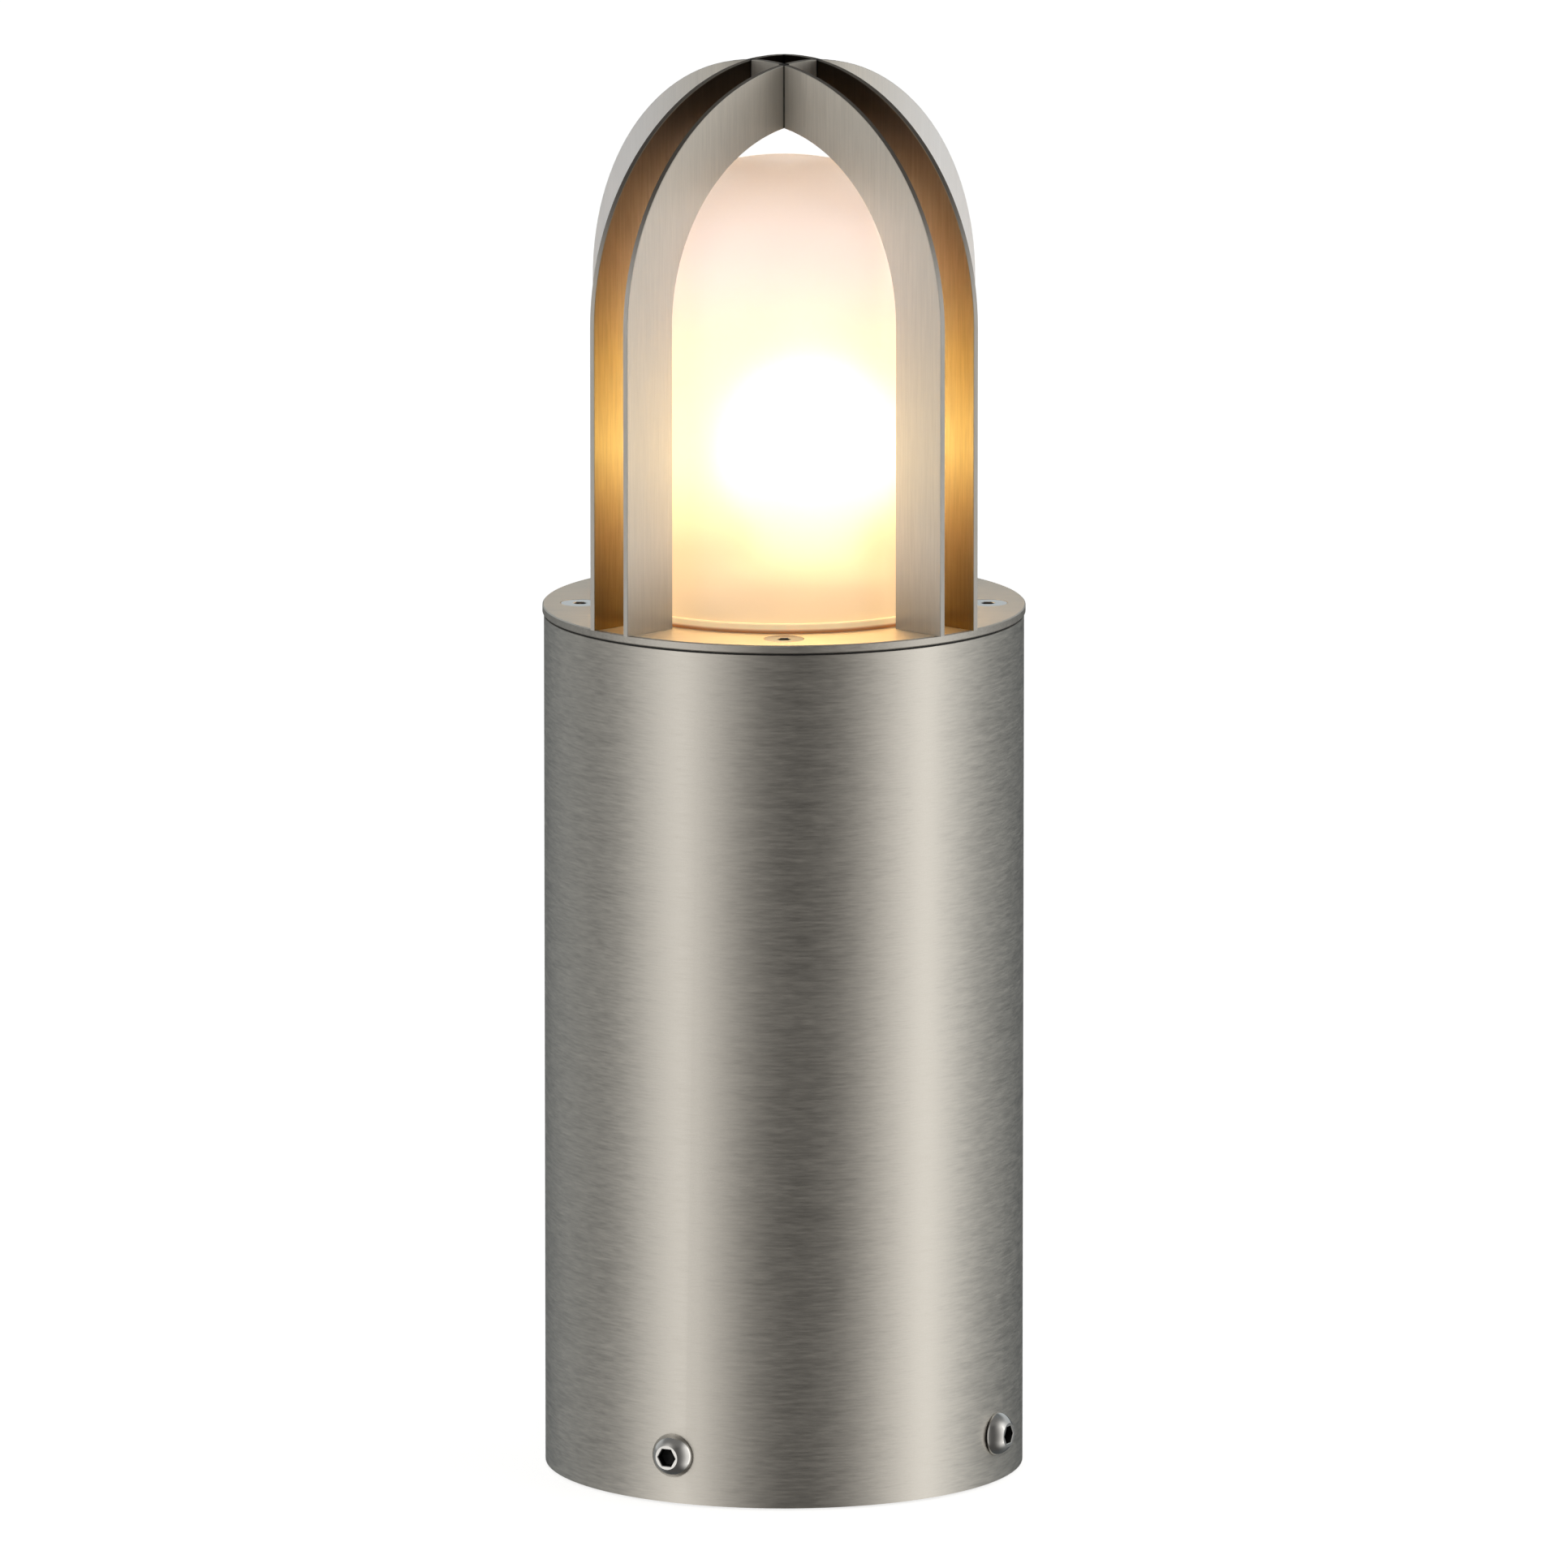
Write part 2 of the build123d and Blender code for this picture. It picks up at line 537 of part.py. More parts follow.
def glass_dome():
    """Glass cylinder with a rounded crown and a foot that stays under the plate."""
    top, spring = PLATE_TOP + GLASS_RISE, GLASS_SPRING_Z
    inner_r = GLASS_R - GLASS_WALL
    foot = Polyline((GLASS_R, spring), (GLASS_R, FOOT_TOP), (FOOT_R - GLASS_BREAK, FOOT_TOP),
                    (FOOT_R, FOOT_TOP - GLASS_BREAK), (FOOT_R, FOOT_UNDER + GLASS_BREAK),
                    (FOOT_R - GLASS_BREAK, FOOT_UNDER), (inner_r, FOOT_UNDER), (inner_r, spring))
    axis = Line((0, top - GLASS_WALL), (0, top))
    return turned([*glass_skin(0), foot, *glass_skin(GLASS_WALL), axis])


def glass_gasket():
    """Seal round the glass: a lip that stands above the plate and a flange below it."""
    r_in = GLASS_R + FIT
    lip = ring(r_in + GASKET_LIP_T, r_in, FOOT_TOP, PLATE_TOP + GASKET_LIP_RISE)
    lip = chamfer(lip.edges().group_by(Axis.Z)[-1], 0.25)
    return lip + ring(FOOT_R, r_in, FOOT_TOP, PLATE_UNDER)


def glass_cushion():
    return ring(FOOT_R, GLASS_R - GLASS_WALL + 0.5, CLAMP_TOP, FOOT_UNDER)


def stud_places():
    return [polar(STUD_PITCH_R, STUD_ANGLE + 90 * i) for i in QUARTERS]


def clamp_ring():
    """Ring with four ears that holds the glass's foot up against the plate."""
    r_out = TOP_SCREW_PITCH_R - BOSS_D / 2 - CLAMP_GAP
    r_in = GLASS_R - GLASS_WALL - CLAMP_INSET
    made = rod(r_out, CLAMP_UNDER, CLAMP_TOP)
    for x, y in stud_places():
        made += rod(EAR_R, CLAMP_UNDER, CLAMP_TOP, x, y)
    made -= rod(r_in, CLAMP_UNDER - 1, CLAMP_TOP + 1)
    for x, y in stud_places():
        made -= rod(STUD_D / 2 + SCREW_SPARE, CLAMP_UNDER - 1, CLAMP_TOP + 1, x, y)
    return made


def clamp_studs():
    low = CLAMP_UNDER - NUT_H - STUD_TAIL
    stud = chamfer(rod(STUD_D / 2, low, PLATE_UNDER).edges().group_by(Axis.Z)[0], 0.4)
    return group(Pos(x, y, 0) * stud for x, y in stud_places())


def clamp_nuts():
    nut = hex_nut(NUT_AF, NUT_H, STUD_D / 2 + THREAD_FIT)
    return group(Pos(x, y, CLAMP_UNDER - NUT_H) * nut for x, y in stud_places())


def lamp_contact():
    return rod(LAMP_CONTACT_D / 2, LAMP_FOOT_Z, INSULATOR_Z, LAMP_X)


def lamp_insulator():
    shape = Cone(LAMP_CONTACT_D / 2 + 0.6, CAP_R - 0.3, INSULATOR_H,
                 align=(Align.CENTER, Align.CENTER, Align.MIN))
    return Pos(LAMP_X, 0, INSULATOR_Z) * shape


def lamp_cap():
    """Threaded metal cap, its thread drawn as a row of ridges."""
    cap = rod(CAP_R, CAP_Z, CAP_TOP)
    turns = int((CAP_H - 2 * CAP_PITCH) / CAP_PITCH)
    for i in range(turns + 1):
        cap += Pos(0, 0, CAP_Z + CAP_PITCH / 2 + i * CAP_PITCH) * Torus(CAP_R, CAP_RIDGE_R)
    cap -= rod(CAP_R - CAP_WALL, CAP_Z + CAP_WALL, CAP_TOP + 1)
    return Pos(LAMP_X, 0, 0) * cap


def bulb(radius, neck_r, z_low):
    """Solid bulb: a straight neck, a smooth curve and a ball."""
    start = polar(radius, BULB_ARC_START)
    start = (start[0], start[1] + LAMP_CENTRE_Z)
    along = (-sin(radians(BULB_ARC_START)), cos(radians(BULB_ARC_START)))
    top = (0, LAMP_CENTRE_Z + radius)
    lines = [Polyline(top, (0, z_low), (neck_r, z_low), (neck_r, CAP_TOP + 0.5))]
    lines += [Spline((neck_r, CAP_TOP + 0.5), start, tangents=[(0, 1), along])]
    lines += [ThreePointArc(start, (radius, LAMP_CENTRE_Z), top)]
    return turned(lines)


def lamp_envelope():
    low = CAP_TOP - NECK_DEPTH
    shell = bulb(LAMP_D / 2, NECK_R, low) - bulb(LAMP_D / 2 - LAMP_GLASS_T, NECK_R - LAMP_GLASS_T, low - 1)
    return Pos(LAMP_X, 0, 0) * shell


def lamp_stem():
    """Glass stem with a flared foot inside the neck."""
    low = CAP_TOP - NECK_DEPTH + 1
    top = LAMP_CENTRE_Z - STEM_TOP_DROP
    flare_r = NECK_R - LAMP_GLASS_T - FIT
    flare = Cone(flare_r, STEM_R, 7, align=(Align.CENTER, Align.CENTER, Align.MIN))
    return Pos(LAMP_X, 0, low) * flare + rod(STEM_R, low + 6, top, LAMP_X)


def lamp_filament():
    """Two support wires from the stem and the filament between them, as one wire."""
    top = LAMP_CENTRE_Z - STEM_TOP_DROP
    made = Pos(LAMP_X, 0, LAMP_CENTRE_Z) * Rot(0, 90, 0) * Cylinder(FILAMENT_R, 2 * FILAMENT_HALF)
    rise = STEM_TOP_DROP
    for side in (-1, 1):
        foot_x, head_x = side * STEM_R * 0.5, side * (FILAMENT_HALF - 0.6)
        length = sqrt((head_x - foot_x) ** 2 + rise**2)
        lean = degrees(atan2(head_x - foot_x, rise))
        wire = Rot(0, lean, 0) * Cylinder(SUPPORT_R, length, align=(Align.CENTER, Align.CENTER, Align.MIN))
        made += Pos(LAMP_X + foot_x, 0, top) * wire
    return made - rod(STEM_R, top - 1, top, LAMP_X)


def lampholder_body():
    """Porcelain holder with the lamp's socket above and two terminal pockets below."""
    body = rod(HOLDER_D / 2, HOLDER_UNDER, HOLDER_TOP)
    body = fillet(body.edges().group_by(Axis.Z)[-1], 2.0)
    body = chamfer(body.edges().group_by(Axis.Z)[0], 1.0)
    body -= rod(SHELL_R + FIT, SOCKET_FLOOR, HOLDER_TOP + 1)
    for side in (-1, 1):
        x, half = side * TERMINAL_PITCH / 2, TERMINAL_W / 2 + FIT
        body -= block(x - half, x + half, -half, half, HOLDER_UNDER - 1, TERMINAL_Z + TERMINAL_H)
        body -= rod(RIVET_R + FIT, HOLDER_UNDER, SOCKET_FLOOR + 1, x, 0)
        y = side * HOLDER_SCREW_PITCH / 2
        body -= rod(HOLDER_SCREW_D / 2 + THREAD_FIT, HOLDER_UNDER - 1,
                    HOLDER_UNDER + HOLDER_SCREW_LENGTH, 0, y)
    return Pos(LAMP_X, 0, 0) * body


def lampholder_shell():
    """Threaded sleeve with a lug that is riveted to the +X terminal."""
    shell = ring(SHELL_R, SHELL_IN_R, SOCKET_FLOOR, HOLDER_TOP - 2)
    x = TERMINAL_PITCH / 2
    shell += block(x - 2, SHELL_IN_R + 0.1, -2.5, 2.5, SOCKET_FLOOR, SOCKET_FLOOR + LEAF_T)
    shell += rod(RIVET_R, TERMINAL_Z + TERMINAL_H, SOCKET_FLOOR + LEAF_T, x)
    return Pos(LAMP_X, 0, 0) * shell


def lampholder_contact():
    """Leaf that the lamp's foot presses on, riveted to the -X terminal."""
    x = -TERMINAL_PITCH / 2
    leaf = block(x - 2.5, 2.0, -2.5, 2.5, SOCKET_FLOOR, SOCKET_FLOOR + LEAF_T)
    leaf += rod(1.5, SOCKET_FLOOR, LAMP_FOOT_Z)
    leaf += rod(RIVET_R, TERMINAL_Z + TERMINAL_H, SOCKET_FLOOR + LEAF_T, x)
    return Pos(LAMP_X, 0, 0) * leaf


def lampholder_terminals():
    half = TERMINAL_W / 2
    made = []
    for side in (-1, 1):
        x = LAMP_X + side * TERMINAL_PITCH / 2
        made.append(block(x - half, x + half, -half, half, TERMINAL_Z, TERMINAL_Z + TERMINAL_H))
    return group(made)


def lampholder_screws():
    screw = Rot(180, 0, 0) * cylinder_screw(HOLDER_SCREW_D, HOLDER_SCREW_LENGTH, *HEAD_M4)
    y = HOLDER_SCREW_PITCH / 2
    return group(Pos(LAMP_X, side * y, STRAP_UNDER) * screw for side in (-1, 1))


def lamp_strap():
    """U-shaped strap under the bosses at +Y and -Y that carries the lampholder."""
    x0, x1 = LAMP_X - STRAP_W / 2, LAMP_X + STRAP_W / 2
    foot_end, arm = TUBE_IN_R, STRAP_ARM_Y
    top = BOSS_UNDER
    strap = block(x0, x1, -arm - STRAP_T, arm + STRAP_T, STRAP_UNDER, HOLDER_UNDER)
    for side in (-1, 1):
        inner, outer = sorted((side * arm, side * (arm + STRAP_T)))
        strap += block(x0, x1, inner, outer, STRAP_UNDER, top)
        near, far = sorted((side * arm, side * foot_end))
        strap += block(x0, x1, near, far, top - STRAP_T, top)
        strap -= rod(TOP_SCREW_D / 2 + SCREW_SPARE, top - 5, top + 1, 0, side * TOP_SCREW_PITCH_R)
        strap -= rod(HOLDER_SCREW_D / 2 + SCREW_SPARE, STRAP_UNDER - 1, HOLDER_UNDER + 1,
                     LAMP_X, side * HOLDER_SCREW_PITCH / 2)
        strap -= rod(LEAD_D / 2 + 1.0, STRAP_UNDER - 1, HOLDER_UNDER + 1,
                     LAMP_X + side * TERMINAL_PITCH / 2)
    strap -= rod(EARTH_SCREW_D / 2 + THREAD_FIT, STRAP_UNDER - 1, HOLDER_UNDER + 1, LAMP_X, EARTH_Y)
    return strap & rod(TUBE_IN_R - 0.5, 0, BODY_HEIGHT)


def lamp_strap_screws():
    screw = Rot(180, 0, 0) * cylinder_screw(TOP_SCREW_D, STRAP_SCREW_LENGTH, *HEAD_M5)
    z = BOSS_UNDER - STRAP_T
    return group(Pos(0, side * TOP_SCREW_PITCH_R, z) * screw for side in (-1, 1))


def earth_lug():
    """Ring lug under the strap, with a barrel that points down."""
    z = STRAP_UNDER
    lug = rod(4.0, z - LUG_T, z, LAMP_X, EARTH_Y)
    lug += block(LAMP_X - 2, LAMP_X + 2, EARTH_BARREL_Y - 2, EARTH_Y, z - LUG_T, z)
    lug += rod(LEAD_D / 2 + 0.7, z - BARREL_H, z, LAMP_X, EARTH_BARREL_Y)
    lug -= rod(EARTH_SCREW_D / 2 + SCREW_SPARE, z - 3, z + 1, LAMP_X, EARTH_Y)
    return lug - rod(LEAD_D / 2 + THREAD_FIT, z - BARREL_H - 1, z - LUG_T, LAMP_X, EARTH_BARREL_Y)


def earth_screw():
    screw = Rot(180, 0, 0) * cylinder_screw(EARTH_SCREW_D, STRAP_T + LUG_T + 2, *HEAD_M4)
    return Pos(LAMP_X, EARTH_Y, STRAP_UNDER - LUG_T) * screw


def lead(pole_x, bends, end_x, end_y, end_z):
    """Round lead from a pole of the block up to a terminal, bent as widely as its runs allow."""
    def height(share):
        return LEAD_START + share * (end_z - LEAD_START)

    points = [(pole_x, POLE_Y, LEAD_START), (pole_x, POLE_Y, height(LEAD_STRAIGHT))]
    points += [(x, y, height(share)) for x, y, share in bends]
    points += [(end_x, end_y, height(1 - LEAD_STRAIGHT)), (end_x, end_y, end_z)]
    points = [Vector(*p) for p in points]
    runs = [b - a for a, b in zip(points, points[1:])]
    radii = []
    for a, b in zip(runs, runs[1:]):
        half_turn = radians(a.get_angle(b) / 2)
        radii.append(LEAD_BEND_SHARE * min(a.length, b.length) / tan(half_turn))
    path = FilletPolyline(*points, radius=radii)
    start = Plane(origin=points[0], z_dir=runs[0])
    return sweep(start * Circle(LEAD_D / 2), path=path)


def lead_live():
    return lead(-POLE_PITCH, LIVE_BENDS, LAMP_X - TERMINAL_PITCH / 2, 0, LEAD_END)


def lead_neutral():
    return lead(POLE_PITCH, NEUTRAL_BENDS, LAMP_X + TERMINAL_PITCH / 2, 0, LEAD_END)


def lead_earth():
    return lead(0, EARTH_BENDS, LAMP_X, EARTH_BARREL_Y, STRAP_UNDER - LUG_T - LEAD_TIP_GAP)


def build():
    """Every node of the light, by name."""
    nodes = {
        "body_tube": body_tube(),
        "base_flange": base_flange(),
        "body_screws": body_screws(),
        "cable_grommet": cable_grommet(),
        "wiring_bracket": wiring_bracket(),
        "wiring_bracket_screws": wiring_bracket_screws(),
        "terminal_block": terminal_block(),
        "terminal_inserts": terminal_inserts(),
        "terminal_screws": terminal_screws(),
        "terminal_fixing_screws": terminal_fixing_screws(),
        "mounting_ring": mounting_ring(),
        "lamp_strap": lamp_strap(),
        "lamp_strap_screws": lamp_strap_screws(),
        "lampholder_body": lampholder_body(),
        "lampholder_shell": lampholder_shell(),
        "lampholder_contact": lampholder_contact(),
        "lampholder_terminals": lampholder_terminals(),
        "lampholder_screws": lampholder_screws(),
        "earth_lug": earth_lug(),
        "earth_screw": earth_screw(),
        "lead_live": lead_live(),
        "lead_neutral": lead_neutral(),
        "lead_earth": lead_earth(),
        "lamp_contact": lamp_contact(),
        "lamp_insulator": lamp_insulator(),
        "lamp_cap": lamp_cap(),
        "lamp_envelope": lamp_envelope(),
        "lamp_stem": lamp_stem(),
        "lamp_filament": lamp_filament(),
        "top_plate": top_plate(),
        "head_seal": head_seal(),
        "top_screws": top_screws(),
        "glass_dome": glass_dome(),
        "glass_gasket": glass_gasket(),
        "glass_cushion": glass_cushion(),
        "clamp_ring": clamp_ring(),
        "clamp_studs": clamp_studs(),
        "clamp_nuts": clamp_nuts(),
    }
    for name, place in arch_places().items():
        nodes[name] = place * arch_plate("upper" in name)
    return nodes


if __name__ == "__main__":
    os.makedirs("parts", exist_ok=True)
    for name, shape in build().items():
        export_step(shape, f"parts/{name}.step")
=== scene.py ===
"""Bollard light: finished surfaces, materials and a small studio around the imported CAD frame."""
from math import cos, pi, radians, sin, sqrt

import bpy
import numpy as np
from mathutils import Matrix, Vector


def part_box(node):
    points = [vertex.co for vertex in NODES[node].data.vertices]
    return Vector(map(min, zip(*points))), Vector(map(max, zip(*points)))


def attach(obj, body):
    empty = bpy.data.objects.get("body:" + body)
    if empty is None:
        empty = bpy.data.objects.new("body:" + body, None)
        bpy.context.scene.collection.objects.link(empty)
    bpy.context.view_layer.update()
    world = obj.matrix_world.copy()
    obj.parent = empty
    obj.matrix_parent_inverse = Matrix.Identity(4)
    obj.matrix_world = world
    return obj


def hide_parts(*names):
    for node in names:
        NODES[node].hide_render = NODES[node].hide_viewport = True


bl_info = {
    "name": "Bollard light",
    "version": (1, 0, 0),
    "blender": (4, 5, 0),
    "location": "View3D > Sidebar > Bollard light",
    "description": "Builds the finished surfaces of a bollard light and the studio it stands in",
    "category": "Object",
}

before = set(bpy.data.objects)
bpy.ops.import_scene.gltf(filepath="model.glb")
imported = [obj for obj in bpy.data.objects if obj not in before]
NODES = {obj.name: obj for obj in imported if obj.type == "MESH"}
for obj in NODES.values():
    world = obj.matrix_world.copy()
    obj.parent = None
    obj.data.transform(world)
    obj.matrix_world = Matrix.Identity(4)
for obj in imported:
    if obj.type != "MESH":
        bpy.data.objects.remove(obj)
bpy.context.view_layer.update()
GLASS_LOW, GLASS_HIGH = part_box("glass_dome")
LAMP_LOW, LAMP_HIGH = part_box("lamp_envelope")
CAP_LOW, CAP_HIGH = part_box("lamp_cap")
TUBE_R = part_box("body_tube")[1].x
PLATE_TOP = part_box("top_plate")[1].z
GASKET_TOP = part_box("glass_gasket")[1].z
LAMP_X = (LAMP_LOW.x + LAMP_HIGH.x) / 2
LAMP_R = (LAMP_HIGH.x - LAMP_LOW.x) / 2
LAMP_Z = LAMP_HIGH.z - LAMP_R
MM = 0.001
TURN = 2 * pi
BLACK, WHITE = (0.0, 0.0, 0.0), (1.0, 1.0, 1.0)


# ---------------------------------------------------------------- sizes and colours a user may change

class BOLLARD_PG_metal(bpy.types.PropertyGroup):
    """Colour and brushing of the steel, and the size of its screws' sockets."""
    steel: bpy.props.FloatVectorProperty(
        name="Steel colour", description="Reflected colour of the brushed steel",
        subtype="COLOR", size=3, min=0, max=1, default=(0.665, 0.635, 0.58))
    roughness: bpy.props.FloatProperty(
        name="Brushed roughness", description="Mean roughness of the brushed steel",
        subtype="FACTOR", min=0.05, max=0.9, default=0.43)
    grain: bpy.props.FloatProperty(
        name="Grain width", description="Width of the brush marks",
        unit="LENGTH", min=0.0001, max=0.005, default=0.0005)
    screw_socket: bpy.props.FloatProperty(
        name="Screw socket", description="Across flats of the body screws' sockets",
        unit="LENGTH", min=0.001, max=0.008, default=0.004)


class BOLLARD_PG_glass(bpy.types.PropertyGroup):
    """Shape, haze and painted glow of the domed glass."""
    wall: bpy.props.FloatProperty(
        name="Glass wall", description="Thickness of the domed glass",
        unit="LENGTH", min=0.001, max=0.006, default=0.003)
    shoulder: bpy.props.FloatProperty(
        name="Shoulder radius", description="Radius between the glass's side and its crown",
        unit="LENGTH", min=0.005, max=0.03, default=0.018)
    crown: bpy.props.FloatProperty(
        name="Crown height", description="From the end of the straight side to the top of the glass",
        unit="LENGTH", min=0.019, max=0.04, default=0.024)
    haze: bpy.props.FloatProperty(
        name="Satin haze", description="Roughness of the etched glass",
        subtype="FACTOR", min=0.05, max=0.9, default=0.34)
    # brightness of the painted glow of the glass, which is no lamp
    glow: bpy.props.FloatProperty(
        name="Glass glow", description="Brightness of the lit glass",
        min=0, max=5, default=0.42)


class BOLLARD_PG_lamp(bpy.types.PropertyGroup):
    """Light of the lamp and the thread of its cap."""
    colour: bpy.props.FloatVectorProperty(
        name="Lamp colour", description="Colour of the lamp's light",
        subtype="COLOR", size=3, min=0, max=1, default=(1.0, 0.80, 0.52))
    brightness: bpy.props.FloatProperty(
        name="Lamp brightness", description="Brightness of the lit bulb", min=0, max=60, default=3.6)
    thread_pitch: bpy.props.FloatProperty(
        name="Thread pitch", description="Rise of the lamp cap's thread in one turn",
        unit="LENGTH", min=0.001, max=0.008, default=0.00362)


class BOLLARD_PG_studio(bpy.types.PropertyGroup):
    """Floor and camera."""
    floor: bpy.props.FloatVectorProperty(
        name="Floor colour", description="Colour of the plain floor",
        subtype="COLOR", size=3, min=0, max=1, default=(0.86, 0.86, 0.86))
    lens: bpy.props.FloatProperty(
        name="Focal length", description="Focal length of the camera",
        unit="CAMERA", min=35, max=900, default=509.9)
    camera_back: bpy.props.FloatProperty(
        name="Camera distance", description="How far the camera stands in front of the light",
        unit="LENGTH", min=1, max=9, default=5.202)
    camera_height: bpy.props.FloatProperty(
        name="Camera height", description="Height of the camera above the floor",
        unit="LENGTH", min=0, max=4, default=1.1385)
    aim_height: bpy.props.FloatProperty(
        name="Aim height", description="Height on the light's axis that the camera looks at",
        unit="LENGTH", min=0, max=0.4, default=0.1641)


# ---------------------------------------------------------------- shader graphs written as expressions

class Wire:
    """One output socket. Arithmetic on it adds Math nodes to its graph."""

    def __init__(self, graph, socket):
        self.graph, self.socket = graph, socket

    def math(self, operation, *values):
        """A Math node on numbers or other wires."""
        return self.graph.node("ShaderNodeMath", {"operation": operation}, dict(enumerate(values)))

    def __add__(self, other):
        return self.math("ADD", self, other)

    __radd__ = __add__

    def __sub__(self, other):
        return self.math("SUBTRACT", self, other)

    def __rsub__(self, other):
        return self.math("SUBTRACT", other, self)

    def __mul__(self, other):
        return self.math("MULTIPLY", self, other)

    __rmul__ = __mul__

    def __truediv__(self, other):
        return self.math("DIVIDE", self, other)

    def __rtruediv__(self, other):
        return self.math("DIVIDE", other, self)

    def __abs__(self):
        return self.math("ABSOLUTE", self)

    def clamp(self, low=0.0, high=1.0):
        """The value held between low and high."""
        return self.math("MINIMUM", self.math("MAXIMUM", self, low), high)

    def step(self, low, high):
        """0 below low, 1 above high and a smooth rise between them."""
        t = ((self - low) / (high - low)).clamp()
        return t * t * (3 - 2 * t)


class Graph:
    """The node tree of a material or of the studio's surround."""

    def __init__(self, owner):
        owner.use_nodes = True
        self.tree = owner.node_tree
        self.tree.nodes.clear()

    def put(self, node, values):
        """Sets or links a node's sockets, named with underscores or by number."""
        for key, value in values.items():
            key = key.replace("_", " ") if isinstance(key, str) else key
            socket = node.inputs[key]
            if isinstance(value, Wire):
                self.tree.links.new(value.socket, socket)
            elif isinstance(value, (tuple, list)) and len(value) == 3 and len(socket.default_value) == 4:
                socket.default_value = (*value, 1.0)
            else:
                socket.default_value = value

    def node(self, kind, settings=None, values=None, out=0):
        """Adds any node: its settings first, then the values or links of its sockets."""
        made = self.tree.nodes.new(kind)
        for key, value in (settings or {}).items():
            if key == "stops":
                ramp = made.color_ramp
                while len(ramp.elements) < len(value):
                    ramp.elements.new(0.5)
                for element, (place, colour) in zip(ramp.elements, value):
                    element.position, element.color = place, (*colour, 1.0)
            else:
                setattr(made, key, value)
        self.put(made, values or {})
        return Wire(self, made.outputs[out]) if made.outputs else None

    def parts(self, vector):
        """The three numbers of a vector."""
        split = self.node("ShaderNodeSeparateXYZ", values={0: vector}).socket.node
        return [Wire(self, number) for number in split.outputs]

    def mix(self, factor, a, b):
        """Colour a where the factor is 0, b where it is 1 and a blend between."""
        return self.node("ShaderNodeMix", {"data_type": "RGBA"}, {0: factor, 6: a, 7: b}, out=2)

    def times(self, a, b):
        """One colour multiplied by another."""
        return self.node("ShaderNodeMix", {"data_type": "RGBA", "blend_type": "MULTIPLY"},
                         {0: 1.0, 6: a, 7: b}, out=2)

    def ramp(self, factor, stops):
        """Colours at places from 0 to 1, run into each other."""
        return self.node("ShaderNodeValToRGB", {"stops": stops}, {"Fac": factor})


class Finish(Graph):
    """A node material: the shader's constants are set on its own sockets."""

    def __init__(self, name, **constants):
        self.material = bpy.data.materials.new(name)
        super().__init__(self.material)
        self.shader = self.tree.nodes.new("ShaderNodeBsdfPrincipled")
        out = self.tree.nodes.new("ShaderNodeOutputMaterial")
        self.tree.links.new(self.shader.outputs[0], out.inputs["Surface"])
        self.put(self.shader, constants)

    @classmethod
    def again(cls, material):
        """The graph of a material that is made already, to build on it."""
        f = cls.__new__(cls)
        f.material, f.tree = material, material.node_tree
        f.shader = next(n for n in f.tree.nodes if n.type == "BSDF_PRINCIPLED")
        return f

    def linked(self, name):
        """What feeds one of the shader's sockets."""
        return Wire(self, self.shader.inputs[name].links[0].from_socket)

    def place(self):
        """Object coordinates as a vector and as its three numbers, in metres."""
        if not hasattr(self, "_place"):
            coords = self.node("ShaderNodeTexCoord", out="Object")
            self._place = coords, *self.parts(coords)
        return self._place

    def noise(self, scale, detail=2.0, roughness=0.5, seed=0.0):
        """Fractal noise whose scale, per metre, is one number or one for each axis."""
        scale = scale if isinstance(scale, tuple) else (scale, scale, scale)
        stretched = self.node("ShaderNodeMapping", values={
            "Vector": self.place()[0], "Scale": scale, "Location": (seed, 2 * seed, 3 * seed)})
        return self.node("ShaderNodeTexNoise", values={
            "Vector": stretched, "Scale": 1.0, "Detail": detail, "Roughness": roughness})

    def bump(self, height, strength, distance):
        """Normals tilted by a height that varies over the surface."""
        return self.node("ShaderNodeBump", values={
            "Height": height, "Strength": strength, "Distance": distance})

    def set(self, **values):
        """Sets or links the shader's sockets and gives the finished material."""
        self.put(self.shader, values)
        return self.material


def shade(colour, factor):
    """A colour made darker or paler, up to white."""
    return tuple(min(1.0, c * factor) for c in colour)


# ---------------------------------------------------------------- meshes

def add_piece(name, verts, faces, material, body, slot, replaced, smooth_angle=30.0, recess=None):
    """Puts numpy vertices and faces into a named piece that rides on a body. Recess is how deep each
    vertex lies in a hollow, from 0 to 1, for its material to read and paint shade into."""
    mesh = bpy.data.meshes.new(name)
    mesh.from_pydata(verts.tolist(), [], faces)
    mesh.validate()
    mesh.materials.append(material)
    if recess is not None:
        mesh.attributes.new("recess", "FLOAT", "POINT").data.foreach_set("value", recess)
    mesh.polygons.foreach_set("use_smooth", np.ones(len(mesh.polygons), bool))
    mesh.set_sharp_from_angle(angle=radians(smooth_angle))
    piece = bpy.data.objects.new(name, mesh)
    bpy.context.scene.collection.objects.link(piece)
    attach(piece, body)
    if replaced:
        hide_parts(*replaced)
    return piece


def grid_faces(rows, columns, wrap_rows=False):
    """Quads of a grid whose columns go once round, with its rows joined end to end if they wrap."""
    i = np.arange(rows if wrap_rows else rows - 1)[:, None]
    j = np.arange(columns)[None, :]
    a = i * columns + j
    b = i * columns + (j + 1) % columns
    c = ((i + 1) % rows) * columns + (j + 1) % columns
    d = ((i + 1) % rows) * columns + j
    return np.stack([a, b, c, d], -1).reshape(-1, 4).tolist()


